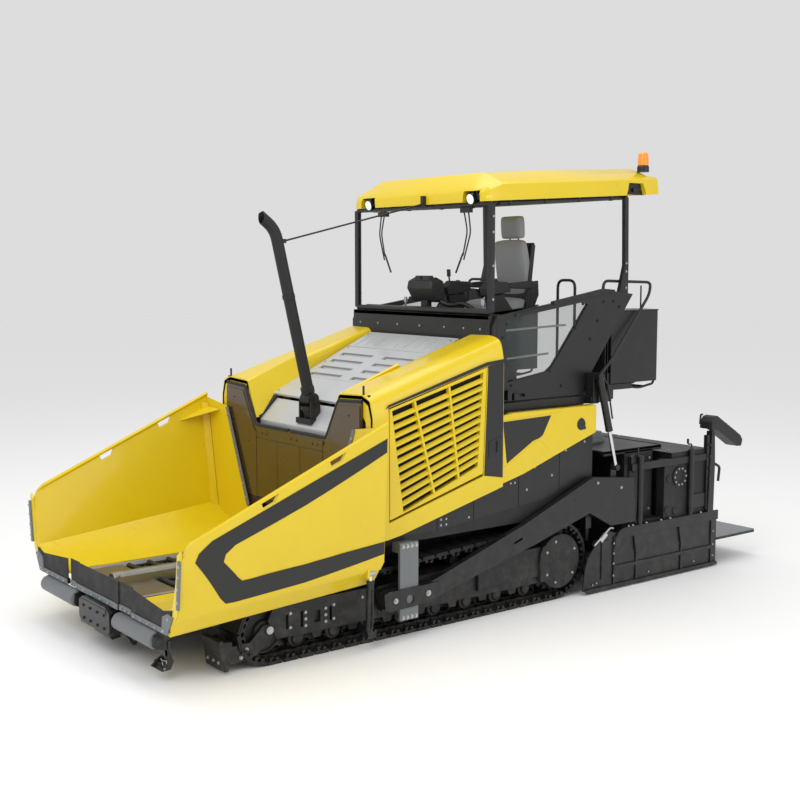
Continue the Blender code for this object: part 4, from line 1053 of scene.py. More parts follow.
@dataclass
class PushBeam:
    """Swivelling beam with the two rollers that push on a truck's tyres."""

    pivot_y: float = -3.30
    roller_y: float = -3.49
    roller_z: float = 0.35

    def build(self) -> None:
        """Build the beam, its nose block, the end plates and the rollers."""
        shape = Shape().box((-0.30, 0.30), (-3.50, -3.40), (0.20, 0.40))
        shape.box((-1.10, 1.10), (-3.413, -3.385), (0.262, 0.338)).box((-0.10, 0.10), (-3.45, self.pivot_y),
            (0.256, 0.344))
        shape.rod((0, self.pivot_y, 0.256), (0, self.pivot_y, 0.344), 0.098, 32)
        nose = [(-0.30, 0.24), (-0.26, 0.195), (0.26, 0.195), (0.30, 0.24), (0.30, 0.38), (0.22, 0.422),
            (-0.22, 0.422), (-0.30, 0.38)]
        shape.prism("y", nose, -3.525, -3.49)
        shape.prism("x", [(-3.53, 0.36), (-3.42, 0.40), (-3.42, 0.425), (-3.53, 0.40)], -0.24, 0.24)
        for s in (-1, 1):
            for x in (0.382, 1.0703):
                plate = [(-3.53, 0.31), (-3.50, 0.285), (-3.39, 0.262), (-3.39, 0.40), (-3.46, 0.42),
                    (-3.52, 0.40)]
                shape.prism("x", plate, s * x, s * (x + 0.018))
            shape.turned([(0, 0.045), (0.012, 0.045), (0.016, 0.03), (0.03, 0.03)],
                (s * 1.0883, self.roller_y, self.roller_z), (s * 2, self.roller_y, self.roller_z), 24)
            shape.prism("x", [(-3.44, 0.26), (-3.34, 0.10), (-3.30, 0.10), (-3.30, 0.16), (-3.385, 0.30)],
                s * 0.30, s * 0.33)
        shape.prism("x", [(-3.50, 0.22), (-3.40, 0.22), (-3.36, 0.13), (-3.44, 0.12)], -0.16, 0.16)
        piece_of("push_beam_dressed", shape, BLACK, "push_beam", 3.0, ["push_beam"])
        spots = [(x, -3.526, z) for x in (-0.20, -0.07, 0.07, 0.20) for z in (0.24, 0.35)]
        bolts = Shape().bolts(spots, (0, -1, 0),
            0.011).bolts([(x, -3.47, 0.421) for x in (-0.2, -0.07, 0.07, 0.2)], (0, 0, 1), 0.010)
        piece_of("push_beam_bolts", bolts, DUSTY, "push_beam", 0)
        hook = Shape().prism("x", [(-3.48, 0.12), (-3.43, 0.085), (-3.36, 0.09), (-3.33, 0.15),
            (-3.385, 0.262), (-3.41, 0.262), (-3.40, 0.18)], 0.93, 0.955)
        hook.prism("x", [(-3.48, 0.12), (-3.43, 0.085), (-3.36, 0.09), (-3.33, 0.15), (-3.385, 0.262),
            (-3.41, 0.262), (-3.40, 0.18)], 1.01, 1.035)
        hook.rod((0.90, -3.42, 0.135), (1.06, -3.42, 0.135), 0.017, 16).box((0.93, 1.035), (-3.41, -3.385),
            (0.2, 0.27))
        piece_of("tow_hook", hook, BLACK, "push_beam", 2.0)
        clip = Shape().pipe([(1.05, -3.44, 0.17), (1.05, -3.42, 0.10), (1.05, -3.40, 0.17),
            (1.05, -3.44, 0.18), (1.05, -3.45, 0.2)], 0.0035, 0.01, 8)
        piece_of("tow_hook_clip", clip, ZINC, "push_beam", 0)
        for side in Side:
            s = side.value
            roller = Shape().turned([(0, 0.03), (0, 0.05), (0.004, 0.062), (0.016, 0.069), (0.653, 0.069),
                (0.665, 0.062), (0.669, 0.05), (0.669, 0.03)], (s * 0.4005, self.roller_y, self.roller_z),
                    (s * 2, self.roller_y, self.roller_z), 48)
            piece_of(f"push_roller_{side.tag}_dressed", roller, GREY, f"push_roller_{side.tag}", 0,
                [f"push_roller_{side.tag}"])
        link = Shape().prism("x", [(-3.36, 0.22), (-3.10, 0.30), (-3.10, 0.22), (-3.36, 0.16)], -0.42,
            -0.36).prism("x", [(-3.36, 0.22), (-3.10, 0.30), (-3.10, 0.22), (-3.36, 0.16)], 0.36, 0.42)
        link.rod((0.6, -2.9, 0.36), (0.9, -2.9, 0.36), 0.05, 20).rod((-0.6, -2.9, 0.36), (-0.9, -2.9, 0.36),
            0.05, 20)
        piece_of("front_frame_links", link, BLACK, "chassis", 3.0)


# ---- engine housing ----


@dataclass
class Cowl:
    """One long side of the engine housing with its grille door."""

    side: Side
    front: float = -1.5995
    rear: float = -0.1605
    corners: tuple[Flat, ...] = ((-1.405, 1.955), (-0.40, 2.222), (-0.462, 1.385), (-1.285, 1.080))

    def share(self, y: float) -> float:
        """How far along the cowl a station is."""
        return (y - self.front) / (self.rear - self.front)

    def ring(self, y: float) -> list[Point]:
        """Section of the cowl's shell: round the shoulder outside, and back inside it."""
        t = self.share(y)
        low = 0.865 + max(0.0, y + 1.407) * 0.251
        outer = [(1.25, 0, low), (1.25, 0, 1.90 + 0.42 * t), (1.205, 0, 2.05 + 0.44 * t),
            (1.09, 0, 2.088 + 0.44 * t)]
        outer += [(0.745, 0, 2.072 + 0.45 * t), (0.70, 0, 1.68 + 0.62 * t)]
        skin = [tuple(p) for p in rounded(outer, 0.07, 5)]
        inner = [(0.74, 1.68 + 0.62 * t), (0.775, 2.03 + 0.45 * t), (1.085, 2.045 + 0.44 * t)]
        inner += [(1.175, 2.0 + 0.44 * t), (1.212, 1.89 + 0.42 * t), (1.212, low)]
        return [(x, y, z) for x, _, z in skin] + [(x, y, z) for x, z in inner]

    def shell(self) -> None:
        """Loft the shell, open it for the door and cap its front with the horn."""
        stations = [self.front + (self.rear - self.front) * i / 10 for i in range(11)]
        shape = Shape().loft([self.ring(y) for y in stations])
        frame_out = [(-1.438, 1.008), (-0.392, 1.298), (-0.352, 2.268), (-1.438, 1.973)]
        openings = Shape().prism("x", frame_out, 1.1, 1.4)
        name, tag = f"cowl_shell_{self.side.tag}", self.side.tag
        piece_of(name, shape.mirrored(self.side), YELLOW, "chassis", 2.5, [f"cowl_{tag}"],
            openings.mirrored(self.side))
        y = self.front
        horn = [(1.242, 0.87), (1.242, 1.90), (1.20, 2.04), (1.09, 2.08), (0.75, 2.064), (0.60, 1.73),
            (0.70, 1.71), (0.80, 1.93), (1.06, 1.95), (1.14, 1.86), (1.19, 0.87)]
        cap = Shape().prism("y", horn, y, y + 0.03)
        slope = [(0.745, 2.066), (0.605, 1.735), (0.62, 1.725), (0.765, 2.05)]
        rise = 0.44 * self.share(-0.98)
        cap.loft([[(x, y + 0.001, z) for x, z in slope],
            [(x + 0.03, -0.98, z + rise * 1.25) for x, z in slope]])
        cap.prism("y", [(1.16, 0.87), (1.246, 0.87), (1.246, 1.9), (1.22, 1.99), (1.16, 1.99)], y + 0.02, -1.45)
        piece_of(f"cowl_front_{tag}", cap.mirrored(self.side), YELLOW, "chassis", 4.0)
        pin = Shape().rod((1.094, -1.585, 2.07), (1.094, -1.585, 2.16), 0.009, 12).rod((1.15, -1.57, 2.06),
            (1.15, -1.57, 2.085), 0.014, 12)
        piece_of(f"cowl_pin_{tag}", pin.mirrored(self.side), DUSTY, "chassis", 1.0)
        # Painted shade: a dark block inside the door opening stands for the shade of the housing's inside.
        dark = Shape().box((1.145, 1.2), (-1.40, -0.40), (1.12, 1.92))
        piece_of(f"cowl_shade_block_{tag}", dark.mirrored(self.side), DUSTY, "chassis", 0)

    def marks(self) -> None:
        """Lay the charcoal band over and behind the grille and set the latch in it."""
        shape = Shape()
        upper = [(-1.47, 1.970), (-1.44, 1.982), (-0.346, 2.276), (-0.165, 2.30), (-0.165, 2.325),
            (-0.36, 2.305), (-1.44, 2.003)]
        shape.prism("x", upper, 1.2475, 1.2515)
        shape.prism("x", [(-0.386, 1.30), (-0.165, 1.262), (-0.165, 2.302), (-0.346, 2.272)], 1.2475, 1.2515)
        piece_of(f"cowl_band_{self.side.tag}", shape.mirrored(self.side), CHARCOAL, "chassis", 0.5)
        latch = Shape().prism("x", [(-0.335, 1.46), (-0.185, 1.50), (-0.185, 1.64), (-0.335, 1.60)], 1.2515,
            1.256)
        latch.box((1.25, 1.266), (-0.245, -0.225), (1.50, 1.60))
        piece_of(f"cowl_latch_{self.side.tag}", latch.mirrored(self.side), PLASTIC, "chassis", 2.0)

    def at(self, u: float, v: float) -> Flat:
        """A point of the grille by its shares along and down."""
        tl, tr, br, bl = (Vector(p) for p in self.corners)
        spot = tl.lerp(tr, u).lerp(bl.lerp(br, u), v)
        return (spot.x, spot.y)

    def door(self) -> None:
        """Build the door's frame and its yellow fins between two slanted ribs, with a near-black sheet behind them as
        painted shade.
        """
        body, tag = f"grille_door_{self.side.tag}", self.side.tag
        plate = [(-1.43, 1.03), (-0.40, 1.32), (-0.36, 2.26), (-1.43, 1.965)]
        window = Shape().prism("x", [self.at(0, 0), self.at(1, 0), self.at(1, 1), self.at(0, 1)], 1.1, 1.4)
        shape = Shape().prism("x", plate, 1.232, 1.250)
        piece_of(f"door_frame_{tag}", shape.mirrored(self.side), YELLOW, body, 4.0, [f"grille_door_{tag}"],
            window.mirrored(self.side))
        fins = Shape()
        rows = 12
        for k in range(1, rows):
            (ya, za), (yb, zb) = self.at(-0.01, k / rows), self.at(1.01, k / rows)
            rings = []
            for y, z in ((ya, za), (yb, zb)):
                rings.append([(1.250, y, z - 0.020), (1.252, y, z - 0.006), (1.226, y, z + 0.018),
                    (1.218, y, z + 0.010)])
            fins.loft(rings)
        for low, high in (((0.235, 0.0), (0.405, 1.0)), ((0.61, 0.0), (0.735, 1.0))):
            (ya, za), (yb, zb) = self.at(*low), self.at(*high)
            fins.loft([[(1.214, y - 0.011, z), (1.252, y - 0.011, z), (1.252, y + 0.011, z),
                (1.214, y + 0.011, z)] for y, z in ((ya, za), (yb, zb))])
        rim = [self.at(0, 0), self.at(1, 0), self.at(1, 1), self.at(0, 1)]
        for (ya, za), (yb, zb) in zip(rim, rim[1:] + rim[:1]):
            fins.loft([[(1.206, y, z - 0.006), (1.245, y, z - 0.006), (1.245, y, z + 0.006),
                (1.206, y, z + 0.006)] for y, z in ((ya, za), (yb, zb))])
        piece_of(f"door_fins_{tag}", fins.mirrored(self.side), YELLOW, body, 2.0, steps=1)
        # Painted shade: this near-black sheet stands for the shade inside the housing behind the fins.
        screen = Shape().prism("x", [(-1.42, 1.05), (-0.41, 1.335), (-0.372, 2.24), (-1.42, 1.945)], 1.2055,
            1.2075)
        piece_of(f"door_shade_fill_{tag}", screen.mirrored(self.side), SHADE_FILL, body, 0)

    def build(self) -> None:
        """Build every piece of the cowl."""
        self.shell()
        self.marks()
        self.door()


@dataclass
class Hood:
    """Silver cover of the engine: the ramp behind the bulkhead and the hinged lid with its vents."""

    foot: Point = (0.0, -1.36, 1.92)
    hinge: Flat = (-0.20, 2.46)

    def lid_point(self, share: float, lift: float) -> Flat:
        """A point over the lid, by its share of the way from front to rear."""
        (_, y0, z0), (y1, z1) = self.foot, self.hinge
        length = math.hypot(y1 - y0, z1 - z0)
        ny, nz = -(z1 - z0) / length, (y1 - y0) / length
        return (y0 + (y1 - y0) * share + ny * lift, z0 + (z1 - z0) * share + nz * lift)

    def slab(self, x: Flat, shares: Flat, lifts: Flat) -> Shape:
        """A flat block that lies along the lid."""
        (a, b), (c, d) = shares, lifts
        outline = [self.lid_point(a, c), self.lid_point(b, c), self.lid_point(b, d), self.lid_point(a, d)]
        return Shape().prism("x", outline, *x)

    def build(self) -> None:
        """Build the ramp, the lid, its slots and its rear panel."""
        ramp = [(-1.558, 1.66), (-1.558, 1.712), (-1.37, 1.90), (-1.37, 1.66)]
        piece_of("hood_ramp", Shape().prism("x", ramp, -0.612, 0.612), SILVER, "chassis", 3.0, ["hood_front"])
        sides = Shape()
        for s in (-1, 1):
            sides.prism("x", [(-1.56, 1.66), (-1.56, 1.73), (-1.37, 1.93), (-1.37, 1.66)], s * 0.60, s * 0.695)
            sides.prism("x", [(-1.56, 1.728), (-1.535, 1.755), (-1.10, 2.06), (-1.10, 1.99), (-1.37, 1.86)],
                s * 0.618, s * 0.645)
        piece_of("hood_ramp_edges", sides, RUBBER, "chassis", 2.0)
        lid = self.slab((-0.688, 0.688), (0.0, 1.0), (0.002, 0.026))
        slots = Shape()
        for s in (-1, 1):
            for k in range(4):
                a = 0.30 + k * 0.105
                block = [self.lid_point(a, -0.1), self.lid_point(a + 0.042, -0.1),
                    self.lid_point(a + 0.042, 0.1), self.lid_point(a, 0.1)]
                slots.prism("x", block, s * 0.085, s * 0.60)
        piece_of("hood_lid_plate", lid, SILVER, "hood_lid", 3.0, ["hood_lid"], slots)
        # Painted shade: a near-black sheet under the lid stands for the shade seen through its slots.
        under = self.slab((-0.66, 0.66), (0.03, 0.97), (-0.020, -0.012))
        piece_of("hood_lid_shade_fill", under, SHADE_FILL, "hood_lid", 0)
        lips = Shape()
        for s in (-1, 1):
            for k in range(4):
                a = 0.30 + k * 0.105
                lips.prism("x", [self.lid_point(a + 0.040, 0.0), self.lid_point(a + 0.018, -0.012),
                    self.lid_point(a + 0.018, -0.006), self.lid_point(a + 0.046, 0.008)], s * 0.09, s * 0.595)
        piece_of("hood_lid_louvres", lips, SILVER, "hood_lid", 0.5)
        rear = Shape()
        for i in range(9):
            x = -0.60 + i * 0.15
            a, b = (0.78, 0.97) if i != 4 else (0.78, 0.85)
            rear.prism("x", [self.lid_point(a, 0.02), self.lid_point(a + 0.01, 0.031),
                self.lid_point(b - 0.01, 0.031), self.lid_point(b, 0.02)], x - 0.012, x + 0.012)
        rear.prism("x", [self.lid_point(0.752, 0.02), self.lid_point(0.755, 0.033),
            self.lid_point(0.765, 0.033), self.lid_point(0.768, 0.02)], -0.67, 0.67)
        rear.prism("x", [self.lid_point(0.272, 0.02), self.lid_point(0.274, 0.029),
            self.lid_point(0.280, 0.029), self.lid_point(0.282, 0.02)], -0.67, 0.67)
        piece_of("hood_lid_ribs", rear, SILVER, "hood_lid", 1.5)
        hy, hz = self.hinge
        edge = Shape().rod((-0.72, hy, hz), (0.72, hy, hz), 0.016, 16)
        piece_of("hood_hinge", edge, BLACK, "hood_lid", 0)
        spots = [(s * x, *self.lid_point(a, 0.026)) for s in (-1, 1) for x in (0.645,) for a in (0.04, 0.25,
            0.5, 0.74, 0.95)]
        piece_of("hood_bolts", Shape().bolts(spots, (0, -0.42, 0.9), 0.008), ZINC, "hood_lid", 0)


@dataclass
class Exhaust:
    """Folding exhaust pipe with its elbow, clamps and the rod that ties it to the roof."""

    foot: Point = (0.12, -1.48, 1.96)
    eye: Point = (0.12, -1.80, 3.36)
    roof_end: Point = (0.12, -0.2003, 3.72)

    def build(self) -> None:
        """Build the pipe, its elbow and collar, and the tie rod."""
        x, y, z = self.foot
        lean = (self.eye[1] - y) / (self.eye[2] - z)
        top = Vector((x, y + lean * (3.46 - z), 3.46))
        shape = Shape().pipe([(x, y, z + 0.02), tuple(top), (x, top.y - 0.15, 3.572)], 0.052, 0.13, 28)
        shape.turned([(0, 0.05), (0, 0.062), (0.05, 0.062), (0.055, 0.054)], (x, y + lean * 0.06, z + 0.06),
            (x, y + lean, z + 1), 28)
        shape.rod((x - 0.07, y, z), (x + 0.07, y, z), 0.0585, 28)
        shape.turned([(0, 0.05), (0, 0.057), (0.035, 0.057), (0.035, 0.05)], (x, y + lean * 0.9, z + 0.9),
            (x, y + lean * 1.9, z + 1.9), 28)
        shape.box((x + 0.0125, x + 0.0225), (self.eye[1] + 0.03, self.eye[1] + 0.08),
            (self.eye[2] - 0.018, self.eye[2] + 0.018))
        mouth = Shape().rod((x, top.y - 0.10, 3.536), (x, top.y - 0.22, 3.623), 0.044, 24)
        mouth.box((x - 0.2, x + 0.2), (top.y - 0.4, top.y - 0.135), (3.3, 3.9))
        piece_of("exhaust_pipe", shape, HEAT, "exhaust", 2.0, ["exhaust"], mouth)
        base = Shape().pipe([(x + 0.02, y + 0.16, 1.80), (x + 0.012, y + 0.03, 1.79), (x, y - 0.002, 1.885)],
            0.066, 0.09, 24)
        base.turned([(0, 0.06), (0, 0.078), (0.03, 0.078), (0.035, 0.066)], (x, y, 1.862), (x, y, 2.2), 28)
        base.box((x - 0.10, x - 0.085), (y - 0.05, y + 0.05), (1.72, 1.95)).box((x + 0.085, x + 0.10),
            (y - 0.05, y + 0.05), (1.72, 1.95))
        base.box((x - 0.12, x + 0.12), (y - 0.07, y + 0.09), (1.74, 1.79))
        piece_of("exhaust_base", base, HEAT, "chassis", 2.0)
        lever = Shape().pipe([(x + 0.10, y, 1.90), (x + 0.14, y - 0.01, 1.93), (x + 0.15, y - 0.05, 2.02)],
            0.008, 0.02, 10)
        piece_of("exhaust_lever", lever, DUSTY, "chassis", 0)
        a, b = Vector(self.roof_end), Vector((self.eye[0], self.eye[1] + 0.065, self.eye[2]))
        along = (b - a).normalized()
        rod = Shape().rod(tuple(a), tuple(b), 0.008, 16).rod(tuple(a + along * 0.02), tuple(a + along * 0.09),
            0.0088, 6)
        rod.rod(tuple(b - along * 0.09), tuple(b - along * 0.02), 0.0088, 6)
        piece_of("tie_rod_dressed", rod, DUSTY, "tie_rod", 0, ["tie_rod"])


# ---- operator's station ----


@dataclass
class Platform:
    """Operator's platform: front wall, floor, desk, rear lockers, rails and side panels."""

    half: float = 1.05
    front: float = -0.16
    floor: float = 1.92
    sill: float = 2.70

    def build(self) -> None:
        """Build the walls, the floor, the desk and what stands on it."""
        shape = Shape().box((-1.10, 1.10), (self.front + 0.03, 1.40), (1.83, 1.906))
        shape.box((-1.12, 1.12), (self.front + 0.02, 1.0), (1.561, 1.83))
        shape.box((-self.half, self.half), (self.front, self.front + 0.045), (1.561, self.sill - 0.001))
        shape.box((-1.04, 1.04), (self.front - 0.012 + 0.012, self.front + 0.10), (2.66, 2.699))
        for s in (-1, 1):
            shape.box((s * 1.05, s * 1.185), (1.03, 1.13), (1.835, 1.905)).box((s * 1.10, s * 1.197),
                (1.04, 1.12), (1.84, 2.13))
            shape.rod((s * 1.19, 1.08, 2.10), (s * 1.21, 1.08, 2.10), 0.028, 20)
        piece_of("platform_walls", shape, BLACK, "chassis", 4.0, ["platform"])
        floor = Shape().box((-1.04, 1.04), (self.front + 0.05, 1.395), (1.905, 1.918))
        piece_of("platform_floor", floor, TREAD, "chassis", 1.0)
        panel = Shape().box((-0.98, 0.98), (self.front - 0.003, self.front + 0.01), (2.50, 2.655))
        piece_of("platform_front_panel", panel, BLACK, "chassis", 3.0)
        spots = [(x, self.front - 0.003, 2.575) for x in (-0.92, -0.62, -0.3, 0.05, 0.42, 0.70, 0.93)]
        piece_of("platform_front_bolts", Shape().bolts(spots, (0, -1, 0), 0.008), ZINC, "chassis", 0)
        self.desk()
        self.display()
        for side in Side:
            self.locker(side)
            self.side_panel(side)
            self.rail(side)

    def desk(self) -> None:
        """Build the desk under the front window, with its rail and small controls."""
        outline = [(-0.108, self.floor + 0.001), (-0.108, 2.655), (-0.06, 2.685), (0.08, 2.705), (0.17, 2.64),
            (0.20, 2.56), (0.12, 2.45), (0.10, self.floor + 0.001)]
        shape = Shape().prism("x", outline, -0.94, 0.94)
        for x in (-0.62, 0.55):
            shape.prism("x", [(-0.04, 2.69), (-0.02, 2.725), (0.09, 2.735), (0.13, 2.68)], x - 0.16, x + 0.16)
        shape.prism("x", [(-0.05, 2.69), (-0.03, 2.745), (0.02, 2.75), (0.05, 2.69)], 0.24, 0.30)
        piece_of("desk", shape, PLASTIC, "chassis", 8.0, ["console"])
        rail = Shape()
        rail.pipe([(-0.93, -0.085, 2.69), (-0.93, -0.085, 2.745), (0.93, -0.085, 2.745), (0.93, -0.085, 2.69)],
            0.011, 0.04)
        for x in (-0.45, 0.0, 0.45):
            rail.rod((x, -0.085, 2.68), (x, -0.085, 2.745), 0.008, 10)
        piece_of("desk_rail", rail, BLACK, "chassis", 0)
        knobs = Shape()
        for i in range(6):
            knobs.turned([(0, 0.012), (0.014, 0.012), (0.017, 0.009)], (0.34 + 0.05 * i, 0.02, 2.702),
                (0.34 + 0.05 * i, 0.02, 3), 14)
        for x in (-0.35, 0.80):
            knobs.rod((x, -0.02, 2.70), (x + 0.01, -0.03, 2.80), 0.008, 10).rod((x + 0.01, -0.03, 2.79),
                (x + 0.012, -0.033, 2.84), 0.017, 14)
        piece_of("desk_controls", knobs, ZINC, "chassis", 0)

    def display(self) -> None:
        """Build the operator's control box on its post, tipped towards the seat."""
        shape = Shape()
        body = [(0.005, 2.80), (-0.075, 2.93), (-0.06, 3.00), (0.02, 3.035), (0.10, 3.00), (0.13, 2.85),
            (0.09, 2.79)]
        half_width = 0.19
        rings = []
        for share, scale in ((-1, 0.86), (-0.88, 1.0), (0.88, 1.0), (1, 0.86)):
            rings.append([(-0.09 + half_width * share, 0.03 + (y - 0.03) * scale,
                2.91 + (z - 2.91) * scale) for y, z in body])
        shape.loft(rings)
        shape.prism("y", [(-0.19, 2.98), (-0.17, 3.05), (-0.10, 3.05), (-0.08, 3.0)], -0.045, 0.02)
        shape.prism("y", [(-0.08, 3.0), (-0.06, 3.05), (0.03, 3.05), (0.05, 2.98)], -0.045, 0.02)
        shape.box((-0.14, -0.04), (0.0, 0.06), (2.68, 2.83)).rod((-0.20, 0.06, 2.72), (0.04, 0.06, 2.72),
            0.022, 16)
        piece_of("control_box", shape, PLASTIC, "chassis", 6.0)
        glass = Shape().loft([[(x, 0.118, 2.84), (x, 0.100, 2.985), (x, 0.108, 2.99),
            (x, 0.127, 2.845)] for x in (-0.22, 0.04)])
        piece_of("control_box_display", glass, SCREEN, "chassis", 1.5)
        arm = Shape().pipe([(0.10, 0.06, 2.80), (0.19, 0.10, 2.76), (0.34, 0.14, 2.79), (0.62, 0.20, 2.66)],
            0.022, 0.06)
        piece_of("control_arm", arm, BLACK, "chassis", 0)

    def locker(self, side: Side) -> None:
        """Build the locker that hangs behind the side panel, with its bracket under it."""
        x0, x1, y0, y1, z0, z1 = 0.72, 1.045, 1.44, 2.15, 1.97, 2.71
        shape = Shape().prism("z", [(x0, y0), (x1, y0), (x1, y1 - 0.04), (x1 - 0.03, y1), (x0, y1)], z0 + 0.02,
            z1 - 0.012)
        shape.prism("z", [(x0 - 0.008, y0), (x1, y0), (x1, y1 - 0.035), (x1 - 0.025, y1 + 0.008),
            (x0 - 0.008, y1 + 0.008)], z1 - 0.012, z1)
        shape.box((0.74, 1.03), (1.35, 1.50), (1.84, 2.10)).box((0.72, 1.045), (1.40, 1.75), (1.93, 1.985))
        shape.box((x0 + 0.02, x1 - 0.05), (y1 - 0.002, y1 + 0.008), (z0 + 0.06, z1 - 0.06))
        piece_of(f"locker_{side.tag}", shape.mirrored(side), BLACK, "chassis", 4.0)
        bars = Shape().pipe([(x1 - 0.04, 1.70, 1.95), (x1 - 0.04, 1.90, 1.925), (x1 - 0.04, 2.10, 1.955),
            (x1 - 0.04, 2.12, 1.99)], 0.012, 0.05)
        bars.pipe([(x0 + 0.05, 1.70, 1.95), (x0 + 0.05, 1.90, 1.925), (x0 + 0.05, 2.10, 1.955),
            (x0 + 0.05, 2.12, 1.99)], 0.012, 0.05)
        bars.rod((x0 + 0.05, 1.98, 1.935), (x1 - 0.04, 1.98, 1.935), 0.010, 12)
        piece_of(f"locker_bars_{side.tag}", bars.mirrored(side), BLACK, "chassis", 0)

    def side_panel(self, side: Side) -> None:
        """Build the sloping side panel with its framed window, trims and fixings."""
        outline = [(-0.10, self.floor + 0.0003), (1.0, self.floor + 0.0003), (1.10, 2.10), (1.69, 2.87),
            (1.34, 2.91), (-0.06, 2.70), (-0.10, 2.70)]
        window = [(0.03, 2.09), (0.52, 2.16), (0.60, 2.215), (1.06, 2.78), (0.98, 2.80), (0.0, 2.66)]
        shape = Shape().prism("x", outline, 1.0503, 1.088)
        shape.prism("x", [(-0.145, 1.92), (-0.10, 1.92), (-0.05, 2.70), (-0.10, 2.70), (-0.145, 2.60)], 1.0503,
            1.086)
        hole = Shape().prism("x", window, 1.0, 1.2)
        hole.rod((1.0, 1.62, 2.83), (1.2, 1.62, 2.83), 0.0165, 20)
        nodes = [f"side_panel_{side.tag}"]
        piece_of(f"side_wall_{side.tag}", shape.mirrored(side), BLACK, "chassis", 3.0, nodes,
            hole.mirrored(side))
        panes = Shape().prism("x", [(a * 0.998 + 0.001, b * 0.9995 + 0.001) for a, b in window], 1.066, 1.071)
        piece_of(f"side_pane_{side.tag}", panes.mirrored(side), GLASS, "chassis", 0, [f"side_glass_{side.tag}"])
        trim = Shape().prism("x", [(0.12, 2.685), (0.55, 2.755), (0.55, 2.785), (0.12, 2.715)], 1.088, 1.104)
        trim.prism("x", [(0.60, 2.815), (1.28, 2.925), (1.42, 2.915), (1.42, 2.885), (1.30, 2.885),
            (0.60, 2.78)], 1.0503, 1.102)
        trim.prism("x", [(0.88, 2.56), (1.03, 2.765), (1.06, 2.75), (0.905, 2.545)], 1.088, 1.103)
        trim.rod((1.088, 0.08, 2.105), (1.088, 0.50, 2.165), 0.006, 10)
        piece_of(f"side_trims_{side.tag}", trim.mirrored(side), RUBBER, "chassis", 3.0)
        rails = Shape()
        for z in (2.30, 2.56):
            rails.rod((1.040, 0.02, z), (1.040, 0.50 + (z - 2.2) * 0.85, z + 0.03), 0.010, 12)
        piece_of(f"window_bars_{side.tag}", rails.mirrored(side), ZINC, "chassis", 0)
        places = ((0.02, 2.62), (0.99, 2.785), (0.57, 2.17), (0.08, 2.06), (1.10, 2.45), (1.0, 2.02),
            (-0.03, 2.5), (0.72, 2.02), (1.28, 2.80), (1.42, 2.80), (1.20, 2.62), (1.50, 2.75))
        bolts = Shape().bolts([(1.088, y, z) for y, z in places], (1, 0, 0), 0.011)
        piece_of(f"side_bolts_{side.tag}", bolts.mirrored(side), DUSTY, "chassis", 0)
        lug = Shape().box((1.088, 1.13), (0.0, 0.05), (1.93, 2.02)).box((1.088, 1.12), (0.09, 0.15),
            (1.925, 1.985))
        lug.rod((1.06, 0.23, 1.965), (1.125, 0.23, 1.965), 0.014, 14)
        piece_of(f"side_hinges_{side.tag}", lug.mirrored(side), BLACK, "chassis", 2.0)

    def rail(self, side: Side) -> None:
        """Bend the hand rails behind the platform and the long brace down to its corner."""
        shape = Shape().pipe([(1.0, 1.36, 2.72), (1.0, 1.36, 3.0), (1.0, 2.05, 2.98), (1.07, 1.95, 2.86),
            (1.12, 1.35, 2.22), (1.17, 1.05, 2.02)], 0.0145, 0.07)
        shape.pipe([(0.60, 1.38, 1.93), (0.60, 1.38, 3.0), (0.36, 1.38, 3.0), (0.36, 1.38, 1.93)], 0.0145, 0.08)
        shape.rod((1.04, 1.86, 2.95), (1.04, 1.86, 2.71), 0.008, 10)
        piece_of(f"hand_rails_{side.tag}", shape.mirrored(side), BLACK, "chassis", 0)
        edge = Shape().box((1.0, 1.06), (1.34, 1.38), (1.92, 2.75)).box((0.70, 1.06), (1.345, 1.375),
            (1.92, 2.45))
        piece_of(f"rear_wall_{side.tag}", edge.mirrored(side), BLACK, "chassis", 3.0)


@dataclass
class RearPanel:
    """Yellow panel behind the cowl, with its blank dark inset and the round filler cap."""

    side: Side

    def build(self) -> None:
        """Build the pressed panel, the inset and the cap."""
        outline = [(-0.155, 1.200), (0.10, 1.262), (1.045, 1.566), (1.05, 1.60), (1.05, 1.83), (-0.03, 1.83),
            (-0.155, 1.80)]
        shape = Shape().prism("x", outline, 1.172, 1.232)
        shape.prism("x", [(-0.155, 1.60), (1.05, 1.60), (1.05, 1.83), (-0.155, 1.80)], 1.122, 1.20)
        ridge = [(-0.155, 1.772), (0.56, 1.80), (0.60, 1.828), (-0.03, 1.83), (-0.155, 1.815)]
        shape.prism("x", ridge, 1.20, 1.240)
        shape.prism("x", [(-0.155, 1.200), (0.10, 1.262), (0.47, 1.383), (0.36, 1.52), (0.30, 1.555),
            (0.24, 1.545), (-0.11, 1.355), (-0.155, 1.36)], 1.20, 1.238)
        tag = self.side.tag
        piece_of(f"rear_skirt_{tag}", shape.mirrored(self.side), YELLOW, "chassis", 5.0, [f"rear_panel_{tag}"])
        inset = [(-0.150, 1.758), (0.448, 1.775), (0.345, 1.60), (0.30, 1.575), (0.22, 1.555), (-0.10, 1.378)]
        piece_of(f"rear_inset_{tag}", Shape().prism("x", inset, 1.230, 1.2345).mirrored(self.side), CHARCOAL,
            "chassis", 1.5)
        cap = Shape().turned([(0, 0.055), (0.004, 0.055), (0.007, 0.05), (0.007, 0.03)], (1.232, 0.845, 1.66),
            (2, 0.845, 1.66), 28)
        cap.box((1.232, 1.2385), (0.86, 0.905), (1.61, 1.635)).box((1.232, 1.2385), (0.83, 0.86), (1.70, 1.72))
        piece_of(f"filler_cap_{tag}", cap.mirrored(self.side), PLASTIC, "chassis", 1.0)


